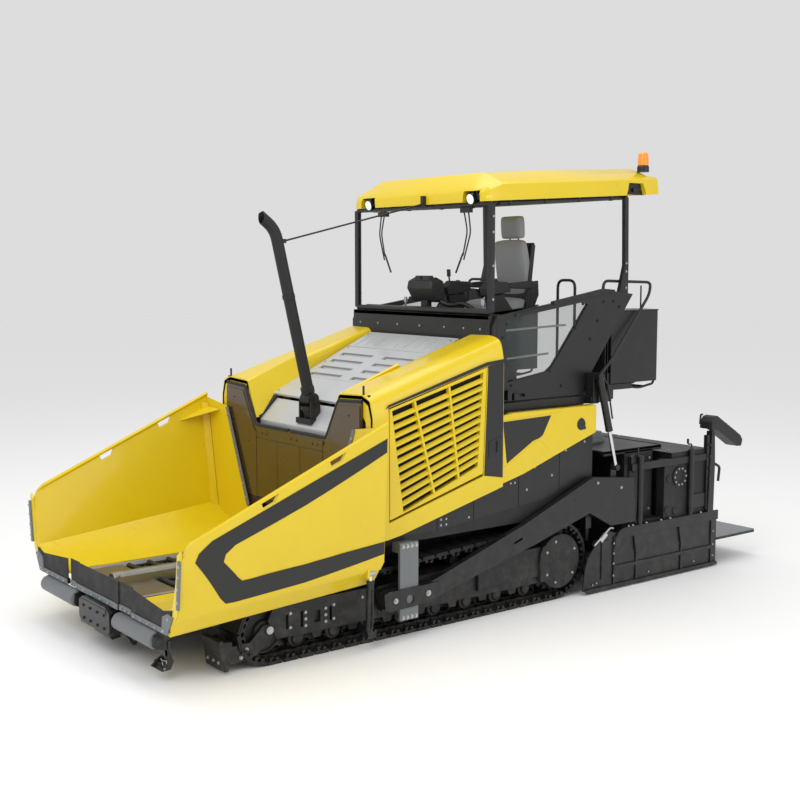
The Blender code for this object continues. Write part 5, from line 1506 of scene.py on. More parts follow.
@dataclass
class Seat:
    """Operator's seat: crowned cushions with seams over a moulded shell, armrests and a pedestal."""

    x: float = 0.28
    y: float = 0.60

    def cushion(self, name: str, size: Point, at: Point, tilt: float, finish: Finish, crown: float) -> bpy.types.Object:
        """Make one stuffed pad.

        Args:
            name: The piece's name.
            size: Its width, depth and thickness.
            at: Its middle.
            tilt: How far it leans back, in degrees, about the machine's width.
            finish: Its cover.
            crown: How far its middle stands out.

        Returns:
            The pad.
        """
        width, deep, thick = size
        bm = bmesh.new()
        bmesh.ops.create_cube(bm, size=1.0)
        bmesh.ops.subdivide_edges(bm, edges=bm.edges, cuts=11, use_grid_fill=True)
        for v in bm.verts:
            u, w, t = v.co.x * 2, v.co.y * 2, v.co.z * 2
            edge = max(abs(u), abs(w)) ** 6
            dome = (1 - u * u) * (1 - w * w)
            bolster = 0.35 * crown * min(1.0, max(0.0, (abs(u) - 0.62) / 0.2)) * (1 - abs(w) ** 4)
            groove = 0.006 * math.exp(-(((abs(u) - 0.62) / 0.05) ** 2))
            groove += 0.005 * math.exp(-(((w - 0.1) / 0.05) ** 2)) * (abs(u) < 0.62)
            height = (thick / 2) * (1 - 0.45 * edge) + crown * dome * 0.6 + bolster - groove * (t > 0)
            square = 1 - 0.06 * min(abs(u), abs(w)) ** 4
            v.co = Vector((u * width / 2 * square, w * deep / 2 * square, t * height))
        mesh = bpy.data.meshes.new(name)
        bm.to_mesh(mesh)
        bm.free()
        pad = bpy.data.objects.new(name, mesh)
        bpy.context.scene.collection.objects.link(pad)
        mesh.transform(Matrix.Translation(Vector(at)) @ Matrix.Rotation(math.radians(tilt), 4, "X"))
        mesh.materials.append(finish.material())
        mesh.shade_smooth()
        smooth = pad.modifiers.new("surface", "SUBSURF")
        smooth.levels = smooth.render_levels = 1
        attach(pad, "chassis")
        LOG.info("%s, a pad of %d faces", name, len(mesh.polygons))
        return pad

    def moved(self, outline: Sequence[Flat]) -> list[Flat]:
        """An outline drawn for a seat at 0.84, brought to where this one stands."""
        return [(y + self.y - 0.84, z) for y, z in outline]

    def build(self) -> None:
        """Build the pads, the shell, the armrests and the pedestal."""
        x, y = self.x, self.y - 0.84
        seat_pad = self.cushion("seat_cushion", (0.47, 0.46, 0.11), (x, y + 0.84, 2.765), 4, VINYL, 0.02)
        self.cushion("seat_back", (0.42, 0.60, 0.11), (x, y + 1.075, 3.10), 99, VINYL, 0.02)
        self.cushion("seat_headrest", (0.27, 0.22, 0.11), (x, y + 1.065, 3.52), 94, VINYL, 0.014)
        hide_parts("seat")
        shell = Shape()
        side = [(0.61, 2.67), (0.63, 2.72), (1.02, 2.70), (1.10, 2.76), (1.17, 3.34), (1.15, 3.37),
            (1.12, 3.34), (1.04, 2.74), (0.97, 2.66)]
        shell.prism("x", self.moved(side), x - 0.215, x + 0.215)
        for s in (-1, 1):
            shell.rod((x + s * 0.06, y + 1.10, 3.30), (x + s * 0.06, y + 1.08, 3.46), 0.008, 10)
            wing = [(0.98, 2.68), (1.12, 2.70), (1.20, 2.86), (1.19, 3.00), (1.10, 2.98), (1.02, 2.80)]
            shell.prism("x", self.moved(wing), x + s * 0.205, x + s * 0.24)
        shell.box((x - 0.20, x + 0.20), (y + 0.62, y + 1.02), (2.58, 2.68))
        shell.box((x - 0.15, x + 0.15), (y + 0.68, y + 1.0), (1.93, 2.60))
        for i in range(6):
            half = 0.18 - 0.004 * i
            shell.box((x - half, x + half), (y + 0.64, y + 1.02), (2.16 + i * 0.07, 2.195 + i * 0.07))
        piece_of("seat_shell", shell, PLASTIC, "chassis", 8.0)
        arms = Shape()
        for s in (-1, 1):
            rest = [(0.74, 2.93), (0.76, 2.98), (1.06, 3.0), (1.08, 2.96), (1.04, 2.92)]
            arms.prism("x", self.moved(rest), x + s * 0.25, x + s * 0.32)
            arms.box((x + s * 0.24, x + s * 0.26), (y + 1.02, y + 1.10), (2.72, 2.97))
            pod = [(0.44, 2.86), (0.42, 2.94), (0.50, 3.0), (0.70, 2.99), (0.74, 2.90)]
            arms.prism("x", self.moved(pod), x + s * 0.235, x + s * 0.345)
            stay = [(0.50, 2.70), (0.46, 2.86), (0.66, 2.88), (0.80, 2.72)]
            arms.prism("x", self.moved(stay), x + s * 0.26, x + s * 0.31)
        piece_of("seat_arms", arms, PLASTIC, "chassis", 10.0)
        sticks = Shape()
        for s in (-1, 1):
            sticks.rod((x + s * 0.29, y + 0.50, 2.98), (x + s * 0.29, y + 0.49, 3.05), 0.008, 12)
            sticks.rod((x + s * 0.29, y + 0.49, 3.04), (x + s * 0.29, y + 0.485, 3.11), 0.019, 16)
            for i in range(3):
                place = x + s * (0.262 + i * 0.022)
                sticks.rod((place, y + 0.60, 2.98), (place, y + 0.60, 3.005), 0.007, 10)
        piece_of("seat_levers", sticks, PLASTIC, "chassis", 1.0)


@dataclass
class Canopy:
    """Folding canopy: front and rear posts, the roof shell with its lamps and rails, and the beacon."""

    half: float = 1.05
    post_x: float = 1.02
    front_foot: Flat = (-0.12, 2.725)
    rear_foot: Flat = (1.62, 2.83)
    rise: float = 0.975
    front: float = -0.16
    rear: float = 2.10

    @property
    def slope(self) -> float:
        """Rise of the roof per metre towards the rear."""
        return (self.rear_foot[1] - self.front_foot[1]) / (self.rear_foot[0] - self.front_foot[0])

    def base(self, y: float) -> float:
        """Height of the roof's lower edge at a distance along the machine."""
        return self.front_foot[1] + self.rise + 0.0206 + self.slope * (y - self.front_foot[0])

    def build(self) -> None:
        """Build the posts, the roof and what is fixed to it."""
        self.posts()
        self.roof()
        self.lamps()
        self.rails()

    def posts(self) -> None:
        """Build the front frame with its wipers and the bent rear posts."""
        y, z = self.front_foot
        top, x = z + self.rise, self.post_x
        shape = Shape().rod((-x, y, z), (x, y, z), 0.0245, 20).rod((-x, y, top), (x, y, top), 0.0195, 20)
        for s in (-1, 1):
            shape.box((s * (x - 0.028), s * (x + 0.03)), (y - 0.022, y + 0.022), (z, top))
            shape.box((s * (x - 0.045), s * (x - 0.028)), (y - 0.004, y + 0.010), (z + 0.02, top - 0.02))
        piece_of("front_posts_dressed", shape, BLACK, "front_posts", 4.0, ["front_posts"])
        wipers = Shape()
        for s in (-1, 1):
            wipers.pipe([(s * 0.60, y + 0.03, top - 0.015), (s * 0.66, y + 0.03, top - 0.24),
                (s * 0.60, y + 0.028, top - 0.46)], 0.007, 0.05, 8)
            wipers.pipe([(s * 0.66, y + 0.035, top - 0.015), (s * 0.70, y + 0.035, top - 0.25),
                (s * 0.61, y + 0.03, top - 0.50)], 0.007, 0.05, 8)
            wipers.box((s * 0.57, s * 0.70), (y + 0.015, y + 0.06), (top - 0.07, top - 0.022))
            wipers.rod((s * 0.60, y + 0.028, top - 0.44), (s * 0.50, y + 0.028, top - 0.62), 0.009, 10)
        piece_of("wipers", wipers, BLACK, "roof", 1.0)
        ry, rz = self.rear_foot
        rtop = rz + self.rise
        rear = Shape().rod((-x - 0.028, ry, rtop), (x + 0.028, ry, rtop), 0.0195, 20)
        for s in (-1, 1):
            outline = [(ry - 0.035, rz - 0.02), (ry + 0.045, rz - 0.02), (ry + 0.045, rz + 0.30),
                (ry + 0.028, rtop), (ry - 0.022, rtop), (ry - 0.005, rz + 0.32), (ry - 0.075, rz + 0.06)]
            rear.prism("x", outline, s * (x - 0.018), s * (x + 0.028))
            rear.rod((s * (x + 0.02), ry, rz), (s * 1.09, ry, rz), 0.0145, 20).rod((s * (x - 0.02), ry, rz),
                (s * (x + 0.03), ry, rz), 0.034, 24)
        piece_of("rear_posts_dressed", rear, BLACK, "rear_posts", 4.0, ["rear_posts"])
        bolts = Shape()
        for s in (-1, 1):
            bolts.bolts([(s * (x + 0.028), ry + 0.01, rz + h) for h in (0.10, 0.26, 0.34)], (s, 0, 0), 0.009)
            bolts.bolts([(s * (x + 0.030), self.front_foot[0], z + h) for h in (0.12, 0.42, 0.72, 0.86)],
                (s, 0, 0), 0.0085)
        for name, low, high in (("rear", 0.5, 9.0), ("front", -9.0, 0.5)):
            some = Shape()
            for face in bolts.bm.faces:
                if low < face.calc_center_median().y < high:
                    verts = [some.bm.verts.new(v.co) for v in face.verts]
                    some.bm.faces.new(verts)
            bmesh.ops.remove_doubles(some.bm, verts=some.bm.verts, dist=1e-6)
            piece_of(f"{name}_post_bolts", some, ZINC, f"{name}_posts", 0)
        bolts.bm.free()

    def ring(self, y: float, rim: float, crown: float, half: float) -> list[Point]:
        """Section of the roof: a rim that leans in, a crease and a nearly flat crown."""
        b = self.base(y)
        side = [(half, b), (half, b + 0.055), (half - 0.018, b + rim), (half - 0.045, b + rim + 0.022),
            (half - 0.23, b + crown - 0.02), (half - 0.30, b + crown)]
        whole = side + [(-x, z) for x, z in reversed(side)]
        return [(x, y, z) for x, z in whole]

    def roof(self) -> None:
        """Loft the shell, hollow it, open its recesses and place the beacon."""
        f, r = self.front, self.rear
        rings = [self.ring(f, 0.06, 0.085, self.half - 0.06),
            self.ring(f + 0.03, 0.10, 0.14, self.half - 0.012)]
        rings += [self.ring(f + 0.17, 0.145, 0.262, self.half), self.ring(f + 0.9, 0.145, 0.275, self.half)]
        rings += [self.ring(r - 0.12, 0.15, 0.268, self.half),
            self.ring(r - 0.015, 0.15, 0.215, self.half - 0.008), self.ring(r, 0.10, 0.18, self.half - 0.03)]
        section = ((-0.99, -0.1), (0.99, -0.1), (0.99, 0.08), (0.75, 0.20), (-0.75, 0.20), (-0.99, 0.08))
        low = [[(x, y, self.base(y) + z) for x, z in section] for y in (f + 0.17, r - 0.125)]
        hollow = Shape().loft(low)
        for s in (-1, 1):
            b = self.base(f)
            lamp = [(0.66, b - 0.1), (0.92, b - 0.1), (0.90, b + 0.10), (0.68, b + 0.10)]
            hollow.prism("y", [(s * x, z) for x, z in lamp], f - 0.1, f + 0.10)
            b = self.base(1.78)
            hollow.prism("x", [(1.60, b - 0.05), (1.92, b - 0.05), (1.86, b + 0.115), (1.66, b + 0.115)],
                s * 0.995, s * 1.2)
        piece_of("roof_shell", Shape().loft(rings), YELLOW, "roof", 6.0, ["roof"], hollow)
        inner = Shape()
        for s in (-1, 1):
            b = self.base(f)
            inner.box((s * 0.66, s * 0.92), (f + 0.074, f + 0.10), (b, b + 0.105)).box((s * 0.67, s * 0.91),
                (f + 0.02, f + 0.10), (b + 0.094, b + 0.10))
            b = self.base(1.76)
            inner.box((s * 0.985, s * 1.0), (1.60, 1.92), (b + 0.005, b + 0.12))
            inner.rod((s * 0.98, 1.76, b + 0.05), (s * 1.02, 1.76, b + 0.05), 0.02, 16)
        inner.box((-0.95, 0.95), (1.59, 1.65), (self.base(1.62) + 0.001, self.base(1.62) + 0.09))
        inner.box((0.10, 0.14), (-0.198, -0.14), (3.705, 3.80))
        for y in (0.05, 1.1):
            inner.box((-0.97, 0.97), (y, y + 0.05), (self.base(y) + 0.03, self.base(y) + 0.08))
        piece_of("roof_inner", inner, BLACK, "roof", 2.0)
        base = Shape().turned([(0, 0.060), (0.05, 0.060), (0.058, 0.054), (0.065, 0.054)], (0.91, 2.0, 4.075),
            (0.91, 2.0, 5), 28)
        piece_of("beacon_base", base, BLACK, "roof", 1.0)
        glow = [(0, 0.054), (0.02, 0.056), (0.08, 0.054), (0.112, 0.049), (0.126, 0.036), (0.129, 0.016)]
        lens = Shape().turned(glow, (0.91, 2.0, 4.14), (0.91, 2.0, 5), 32)
        piece_of("beacon_lens", lens, AMBER, "roof", 0)

    def lamps(self) -> None:
        """Hang the two work lights in their recesses."""
        z = self.base(self.front) + 0.028
        body, lens = Shape(), Shape()
        for s in (-1, 1):
            x, y = s * 0.78, self.front + 0.005
            body.turned([(0, 0.03), (0.012, 0.046), (0.04, 0.052), (0.058, 0.052), (0.06, 0.046)],
                (x, y + 0.05, z + 0.012), (x, y - 1, z - 0.25), 28)
            body.box((x - 0.012, x + 0.012), (y + 0.02, y + 0.05), (z, z + 0.07)).box((x + 0.05, x + 0.10),
                (y + 0.02, y + 0.07), (z - 0.01, z + 0.05))
            lens.turned([(0, 0.045), (0.004, 0.044), (0.010, 0.03), (0.011, 0.012)], (x, y - 0.008, z - 0.002),
                (x, y - 1, z - 0.25), 28)
        piece_of("work_lights", body, BLACK, "roof", 1.5)
        piece_of("work_light_lenses", lens, CLEAR_LENS, "roof", 0)

    def rails(self) -> None:
        """Run the blind tubes under the roof's edges, with their clips."""
        tubes, clips = Shape(), Shape()
        for s in (-1, 1):
            x = s * 1.015
            y0, y1 = -0.02, 1.56
            tubes.rod((x, y0, self.base(y0) - 0.022), (x, y1, self.base(y1) - 0.022), 0.018, 16)
            tubes.prism("x", [(y0, self.base(y0) - 0.001), (y1, self.base(y1) - 0.001),
                (y1, self.base(y1) + 0.012), (y0, self.base(y0) + 0.012)], s * 0.995, s * 1.042)
            for i in range(4):
                y = y0 + 0.12 + i * 0.44
                clips.box((x - 0.021, x + 0.021), (y - 0.014, y + 0.014), (self.base(y) - 0.044, self.base(y)))
        y = self.front + 0.065
        tubes.rod((-0.90, y, self.base(y) - 0.018), (0.90, y, self.base(y) - 0.018), 0.015, 16)
        for i in range(5):
            x = -0.85 + i * 0.42
            clips.box((x - 0.014, x + 0.014), (y - 0.018, y + 0.018), (self.base(y) - 0.036, self.base(y)))
        piece_of("roof_tubes", tubes, BLACK, "roof", 1.0)
        piece_of("roof_clips", clips, DUSTY, "roof", 1.5)


# ---- screed ----


@dataclass
class TowArm:
    """Tow arm with its grey bracket and pins, and the cylinder that lifts the screed."""

    side: Side
    pin: Flat = (-1.27, 0.35)

    def build(self) -> None:
        """Build the arm, the bracket and the lift cylinder."""
        ty, tz = self.pin
        arm = [(-1.545, 0.44), (-1.525, 0.275), (-1.48, 0.262), (-1.0, 0.285), (0.25, 0.60), (0.95, 0.80),
            (1.25, 0.64), (1.60, 0.64)]
        arm += [(1.56, 1.08), (1.0, 1.138), (0.93, 1.12), (0.1, 0.80), (-0.9, 0.475), (-1.0, 0.45),
            (-1.50, 0.45)]
        hole = Shape().rod((1.1, ty, tz), (1.4, ty, tz), 0.0408, 32)
        hole.prism("x", [(-0.03, 0.652), (0.07, 0.685), (0.075, 0.665), (-0.025, 0.632)], 1.1, 1.4)
        tag = self.side.tag
        shape = Shape().prism("x", arm, 1.204, 1.266)
        shape.prism("x", [(1.28, 1.0), (1.38, 1.0), (1.36, 1.235), (1.30, 1.235)], 1.2003, 1.2045)
        piece_of(f"tow_arm_{tag}_dressed", shape.mirrored(self.side), BLACK, "screed", 4.0, [f"tow_arm_{tag}"],
            hole.mirrored(self.side))
        more = Shape().prism("x", [(-1.545, 0.43), (-1.48, 0.27), (-1.15, 0.285), (-1.12, 0.44),
            (-1.20, 0.45)], 1.264, 1.2695)
        rim = Shape().rod((1.1, ty, tz), (1.4, ty, tz), 0.0408, 32)
        end = [(-1.545, 0.43), (-1.535, 0.30), (-1.50, 0.272), (-1.0, 0.292), (-0.93, 0.34), (-0.95, 0.455),
            (-1.10, 0.45), (-1.50, 0.445)]
        more.prism("x", end, 1.313, 1.327)
        more.box((1.262, 1.315), (-1.535, -1.405), (0.30, 0.42)).box((1.262, 1.315), (-1.10, -0.97),
            (0.32, 0.43))
        piece_of(f"tow_arm_plate_{tag}", more.mirrored(self.side), BLACK, "screed", 2.0, (),
            rim.mirrored(self.side))
        bolts = Shape()
        for y, z, radius in ((-1.08, 0.372, 0.026), (-1.43, 0.36, 0.024)):
            bolts.rod((1.325, y, z), (1.336, y, z), radius, 24).rod((1.33, y, z), (1.345, y, z),
                radius * 0.55, 16)
        bolts.bolts([(1.266, y, z) for y, z in ((1.05, 1.08), (1.38, 1.0))], (1, 0, 0), 0.011)
        piece_of(f"tow_arm_bolts_{tag}", bolts.mirrored(self.side), ZINC, "screed", 0.6)
        dots = Shape()
        for y, z in ((-0.93, 0.415), (-0.80, 0.445), (0.62, 0.915), (0.74, 0.95)):
            dots.turned([(0, 0.009), (0.003, 0.009), (0.004, 0.006)], (1.265, y, z), (2, y, z), 12)
        piece_of(f"tow_arm_dots_{tag}", dots.mirrored(self.side), DUSTY, "screed", 0)
        bracket = Shape().box((1.279, 1.309), (ty - 0.098, ty + 0.098), (0.168, 0.834))
        bracket.box((1.1705, 1.30), (ty - 0.08, ty + 0.08), (0.742, 0.828))
        piece_of(f"tow_bracket_{tag}_dressed", bracket.mirrored(self.side), GREY, "chassis", 4.0,
            [f"tow_bracket_{tag}"])
        pin = Shape().turned([(0, 0.036), (0.004, 0.0395), (0.10, 0.0395), (0.1, 0.03)], (1.197, ty, tz),
            (2, ty, tz), 32)
        for z in (0.195, 0.805):
            pin.bolts([(1.309, ty - 0.069 + i * 0.046, z) for i in range(4)], (1, 0, 0), 0.015)
        piece_of(f"tow_bracket_bolts_{tag}", pin.mirrored(self.side), ZINC, "chassis", 0.8)
        self.cylinder(tag)

    def cylinder(self, tag: str) -> None:
        """Dress the lift cylinder's barrel, gland, hose and rod."""
        foot, eye = Vector((1.235, 1.08, 2.10)), Vector((1.235, 1.33, 1.20))
        along = (eye - foot).normalized()
        across = Vector((0.0307, 0, 0))
        barrel = Shape().rod(tuple(foot), tuple(foot + along * 0.53), 0.035,
            28).rod(tuple(foot + along * 0.52), tuple(foot + along * 0.555), 0.0362, 28)
        barrel.rod(tuple(foot - across), tuple(foot + across), 0.0375, 24)
        barrel.box((1.225, 1.245), (foot.y + 0.03, foot.y + 0.075), (foot.z - 0.045, foot.z - 0.015))
        barrel.pipe([tuple(foot + Vector((0, 0.055, -0.03))), (1.235, foot.y + 0.115, foot.z - 0.08),
            (1.235, foot.y + 0.19, foot.z - 0.42)], 0.0085, 0.03, 8)
        piece_of(f"lift_barrel_{tag}_dressed", barrel.mirrored(self.side), BLACK, f"lift_barrel_{tag}", 1.5,
            [f"lift_cylinder_{tag}_barrel"])
        rod = Shape().rod(tuple(foot + along * 0.42), tuple(eye), 0.0195, 24)
        piece_of(f"lift_rod_{tag}_dressed", rod.mirrored(self.side), CHROME, f"lift_rod_{tag}", 0,
            [f"lift_cylinder_{tag}_rod"])
        end = Shape().turned([(0, 0.02), (0, 0.029), (0.06, 0.029), (0.06, 0.02)],
            tuple(eye - Vector((0.03, 0, 0))), tuple(eye), 24)
        piece_of(f"lift_rod_eye_{tag}", end.mirrored(self.side), DUSTY, f"lift_rod_{tag}", 1.0)


@dataclass
class Auger:
    """One half of the spreading auger: a shaft with a helical flight."""

    side: Side
    y: float = 1.235
    z: float = 0.30
    pitch: float = 0.30
    radius: float = 0.163

    def build(self) -> None:
        """Wind the flight round the shaft."""
        s = self.side.value
        shape = Shape().rod((s * 0.0605, self.y, self.z), (s * 1.139, self.y, self.z), 0.034, 24)
        rings, steps = [], 96
        for i in range(steps + 1):
            x = 0.10 + (1.10 - 0.10) * i / steps
            a = 2 * math.pi * (x - 0.10) / self.pitch
            c, d = math.cos(a), math.sin(a)
            section = ((0.0, 0.030), (0.0, self.radius), (0.012, self.radius), (0.014, 0.030))
            rings.append([(s * (x + w), self.y + r * c, self.z + s * r * d) for w, r in section])
        shape.loft(rings)
        piece_of(f"auger_{self.side.tag}_dressed", shape, BARE, f"auger_{self.side.tag}", 0,
            [f"auger_{self.side.tag}"])


@dataclass
class Screed:
    """Screed body with its deck, ladder-like frame, tampers and the boxes on it."""

    half: float = 1.20
    front: float = 1.47
    rear: float = 2.05
    deck: float = 1.34

    def build(self) -> None:
        """Build the main body and its deck."""
        h = self.half
        shape = Shape().prism("x", [(self.front, 0.10), (self.front + 0.05, 0.03), (self.rear, 0.03),
            (self.rear, 0.616), (1.50, 0.616), (self.front, 0.55)], -h, h)
        shape.box((-h, h), (1.50, 1.575), (0.60, 1.045)).box((-0.9, 0.9), (1.57, 1.65), (0.61, 1.0))
        shape.box((-1.0, 1.0), (1.60, self.rear - 0.03), (0.6, self.deck - 0.02))
        for s in (-1, 1):
            shape.box((s * 1.0, s * 1.10), (1.60, self.rear - 0.03), (0.6, self.deck - 0.03))
            shape.box((s * 1.10, s * 1.112), (1.66, 1.98), (0.66, 1.26))
            for y, z in ((1.72, 1.12), (1.72, 0.74)):
                shape.rod((s * 1.10, y, z), (s * 1.13, y, z), 0.026, 20)
        piece_of("screed_body", shape, DUSTY, "screed", 4.0, ["screed_frame"])
        deck = Shape().box((-1.10, 1.10), (1.30, 2.15), (self.deck - 0.03, self.deck - 0.006))
        deck.box((-0.72, 0.72), (1.31, 1.66), (self.deck - 0.01, self.deck - 0.001))
        piece_of("screed_deck", deck, TREAD, "screed", 2.0)
        edge = Shape()
        for y in (1.302, 2.148):
            edge.box((-1.10, 1.10), (y - 0.006 if y > 2 else y, y if y > 2 else y + 0.006),
                (self.deck - 0.05, self.deck - 0.001))
        for s in (-1, 1):
            edge.box((s * 1.094, s * 1.10), (1.30, 2.15), (self.deck - 0.05, self.deck - 0.001))
        piece_of("screed_deck_edges", edge, BLACK, "screed", 1.0)
        bolts = Shape()
        for s in (-1, 1):
            bolts.bolts([(s * 1.112, y, z) for y in (1.68, 1.96) for z in (0.70, 1.22)], (s, 0, 0), 0.010)
            bolts.bolts([(s * x, self.front, 0.35) for x in (0.3, 0.6, 0.9, 1.1)], (0, -1, 0), 0.012)
        piece_of("screed_bolts", bolts, ZINC, "screed", 0)
        cover = [(1.32, self.deck - 0.02), (1.86, self.deck - 0.02), (1.80, self.deck + 0.11),
            (1.36, self.deck + 0.11)]
        piece_of("screed_cover", Shape().prism("x", cover, -0.60, 0.60), BRIGHT_TREAD, "screed", 4.0)
        tamper = Shape().prism("x", [(1.455, 0.04), (1.472, 0.034), (1.472, 0.26), (1.455, 0.26)], -h + 0.01,
            h - 0.01)
        piece_of("screed_tamper", tamper, BARE, "screed", 1.0)


@dataclass
class Extension:
    """Sliding half of the screed with its end plate, posts, control column and walkway."""

    side: Side
    plate: float = 1.245

    @property
    def body(self) -> str:
        """The CAD body that the extension rides on."""
        return f"extension_{self.side.tag}"

    def build(self) -> None:
        """Build the extension's body, its end plate and what stands on them."""
        tag = self.side.tag
        shape = Shape().prism("x", [(2.051, 0.06), (2.08, 0.03), (2.80, 0.03), (2.80, 0.56), (2.76, 0.58),
            (2.051, 0.58)], 0.012, 1.254)
        for x in (0.25, 0.65, 1.05):
            shape.box((x - 0.01, x + 0.01), (2.06, 2.815), (0.06, 0.595))
        shape.box((0.014, 1.235), (2.16, 2.725), (0.57, 1.255)).box((1.13, 1.235), (2.05, 2.17), (0.58, 1.20))
        shape.box((0.06, 1.20), (2.60, 2.735), (0.62, 1.18))
        ring = [(0, 0.105), (0.014, 0.105), (0.018, 0.098), (0.018, 0.062), (0.006, 0.058)]
        shape.turned(ring, (1.233, 2.28, 1.01), (2.0, 2.28, 1.01), 36)
        for y, z in ((2.12, 1.0), (2.22, 0.66), (2.10, 0.68)):
            shape.turned([(0, 0.040), (0.010, 0.040), (0.012, 0.030), (0.012, 0.018)], (1.233, y, z),
                (2.0, y, z), 20)
        piece_of(f"extension_body_{tag}", shape.mirrored(self.side), DUSTY, self.body, 4.0,
            [f"screed_extension_{tag}"])
        top = Shape().box((0.014, 1.236), (2.155, 2.73), (1.253, 1.262))
        piece_of(f"extension_deck_{tag}", top.mirrored(self.side), TREAD, self.body, 1.0)
        rim = Shape()
        rim.bolts([(1.251, 2.28 + 0.085 * math.cos(a),
            1.01 + 0.085 * math.sin(a)) for a in [i * math.pi / 5 for i in range(10)]], (1, 0, 0), 0.008)
        rim.bolts([(x, 2.20 + 0.06 * (k % 2), 1.262) for k, x in enumerate((0.2, 0.5, 0.8, 1.1))], (0, 0, 1),
            0.011)
        piece_of(f"extension_bolts_{tag}", rim.mirrored(self.side), ZINC, self.body, 0)
        self.end_plate(tag)
        self.posts(tag)
        self.control(tag)
        self.walkway(tag)

    def end_plate(self, tag: str) -> None:
        """Build the end plate with its curved nose, skid, ribs and top beam."""
        p = self.plate
        plate = [(0.89, 0.04), (0.93, 0.018), (2.86, 0.018), (2.87, 0.05), (2.87, 0.55), (2.80, 0.56),
            (1.32, 0.56), (1.24, 0.585), (1.12, 0.53), (0.93, 0.36)]
        shape = Shape().prism("x", plate, p, p + 0.012).prism("x",
            [(0.87, 0.05), (0.93, 0.016), (2.87, 0.016), (2.87, 0.05), (0.95, 0.055)], p - 0.01, p + 0.035)
        beam = [(1.43, 0.50), (2.87, 0.50), (2.87, 0.598), (1.43, 0.598), (1.36, 0.575), (1.30, 0.50),
            (1.30, 0.42), (1.36, 0.42), (1.38, 0.47)]
        shape.prism("x", beam, p + 0.008, p + 0.033)
        shape.prism("x", [(1.30, 0.20), (2.76, 0.20), (2.76, 0.235), (1.30, 0.235)], p + 0.008, p + 0.030)
        for y in (1.30, 1.62, 2.30, 2.78):
            shape.box((p + 0.008, p + 0.026), (y - 0.012, y + 0.012), (0.05, 0.52))
        for y in (1.62, 2.30):
            shape.prism("x", [(y - 0.05, 0.50), (y + 0.05, 0.50), (y + 0.02, 0.34), (y - 0.02, 0.34)],
                p + 0.010, p + 0.031)
        rim = [(0.88, p + 0.017, 0.05), (0.915, p + 0.017, 0.34), (1.11, p + 0.017, 0.53),
            (1.23, p + 0.017, 0.58)]
        shape.pipe([(x, y, z) for y, x, z in rim], 0.012, 0.12, 10)
        shape.prism("x", [(1.12, 0.12), (1.22, 0.12), (1.22, 0.50), (1.12, 0.50)], p + 0.010, p + 0.024)
        piece_of(f"end_plate_{tag}", shape.mirrored(self.side), BLACK, self.body, 2.5)
        bolts = Shape().bolts([(p + 0.026, 1.285, z) for z in (0.14, 0.26, 0.36, 0.46)], (1, 0, 0), 0.0075)
        bolts.bolts([(p + 0.026, 2.80, z) for z in (0.12, 0.24, 0.38)], (1, 0, 0), 0.0075)
        bolts.bolts([(p + 0.024, y, z) for y, z in ((1.05, 0.10), (1.0, 0.09), (1.8, 0.10), (2.5, 0.10))],
            (1, 0, 0), 0.007)
        bolts.bolts([(1.262, y, 0.602) for y in (1.50, 1.56, 1.76, 1.98, 2.12, 2.60)], (0, 0, 1), 0.011)
        piece_of(f"end_plate_bolts_{tag}", bolts.mirrored(self.side), ZINC, self.body, 0)
        strut = Shape().pipe([(1.262, 1.02, 0.47), (1.262, 1.24, 0.62), (1.262, 1.28, 0.61)], 0.010, 0.03, 10)
        strut.turned([(0, 0.024), (0.10, 0.026), (0.11, 0.01)], (1.262, 1.10, 0.50), (1.262, 1.24, 0.62), 16)
        piece_of(f"end_plate_strut_{tag}", strut.mirrored(self.side), ZINC, self.body, 0.8)

    def posts(self, tag: str) -> None:
        """Stand the two spindle posts with their caps, crank and side rail."""
        x = 1.262
        shape = Shape()
        for y, top in ((1.66, 1.285), (2.43, 1.288)):
            shape.turned([(0, 0.024), (0.04, 0.024), (0.05, 0.029), (top - 0.63, 0.029), (top - 0.62, 0.033),
                (top - 0.60, 0.033), (top - 0.59, 0.02)], (x, y, 0.59), (x, y, 2), 20)
        shape.box((1.235, 1.255), (1.55, 2.76), (1.14, 1.21)).prism("x",
            [(1.55, 1.14), (1.70, 1.14), (1.70, 1.28), (1.60, 1.30), (1.55, 1.28)], 1.21, 1.24)
        shape.box((1.215, 1.25), (2.45, 2.72), (0.66, 0.80))
        piece_of(f"extension_posts_{tag}", shape.mirrored(self.side), BLACK, self.body, 2.5)
        crank = Shape().pipe([(x, 2.43, 1.27), (x, 2.43, 1.335), (x, 2.37, 1.335), (x, 2.37, 1.385)], 0.0075,
            0.02, 10)
        crank.rod((x, 2.37, 1.345), (x, 2.37, 1.392), 0.012, 14).rod((x, 1.62, 1.28), (x, 1.62, 1.36),
            0.009, 12)
        piece_of(f"crank_{tag}", crank.mirrored(self.side), BLACK, self.body, 0)

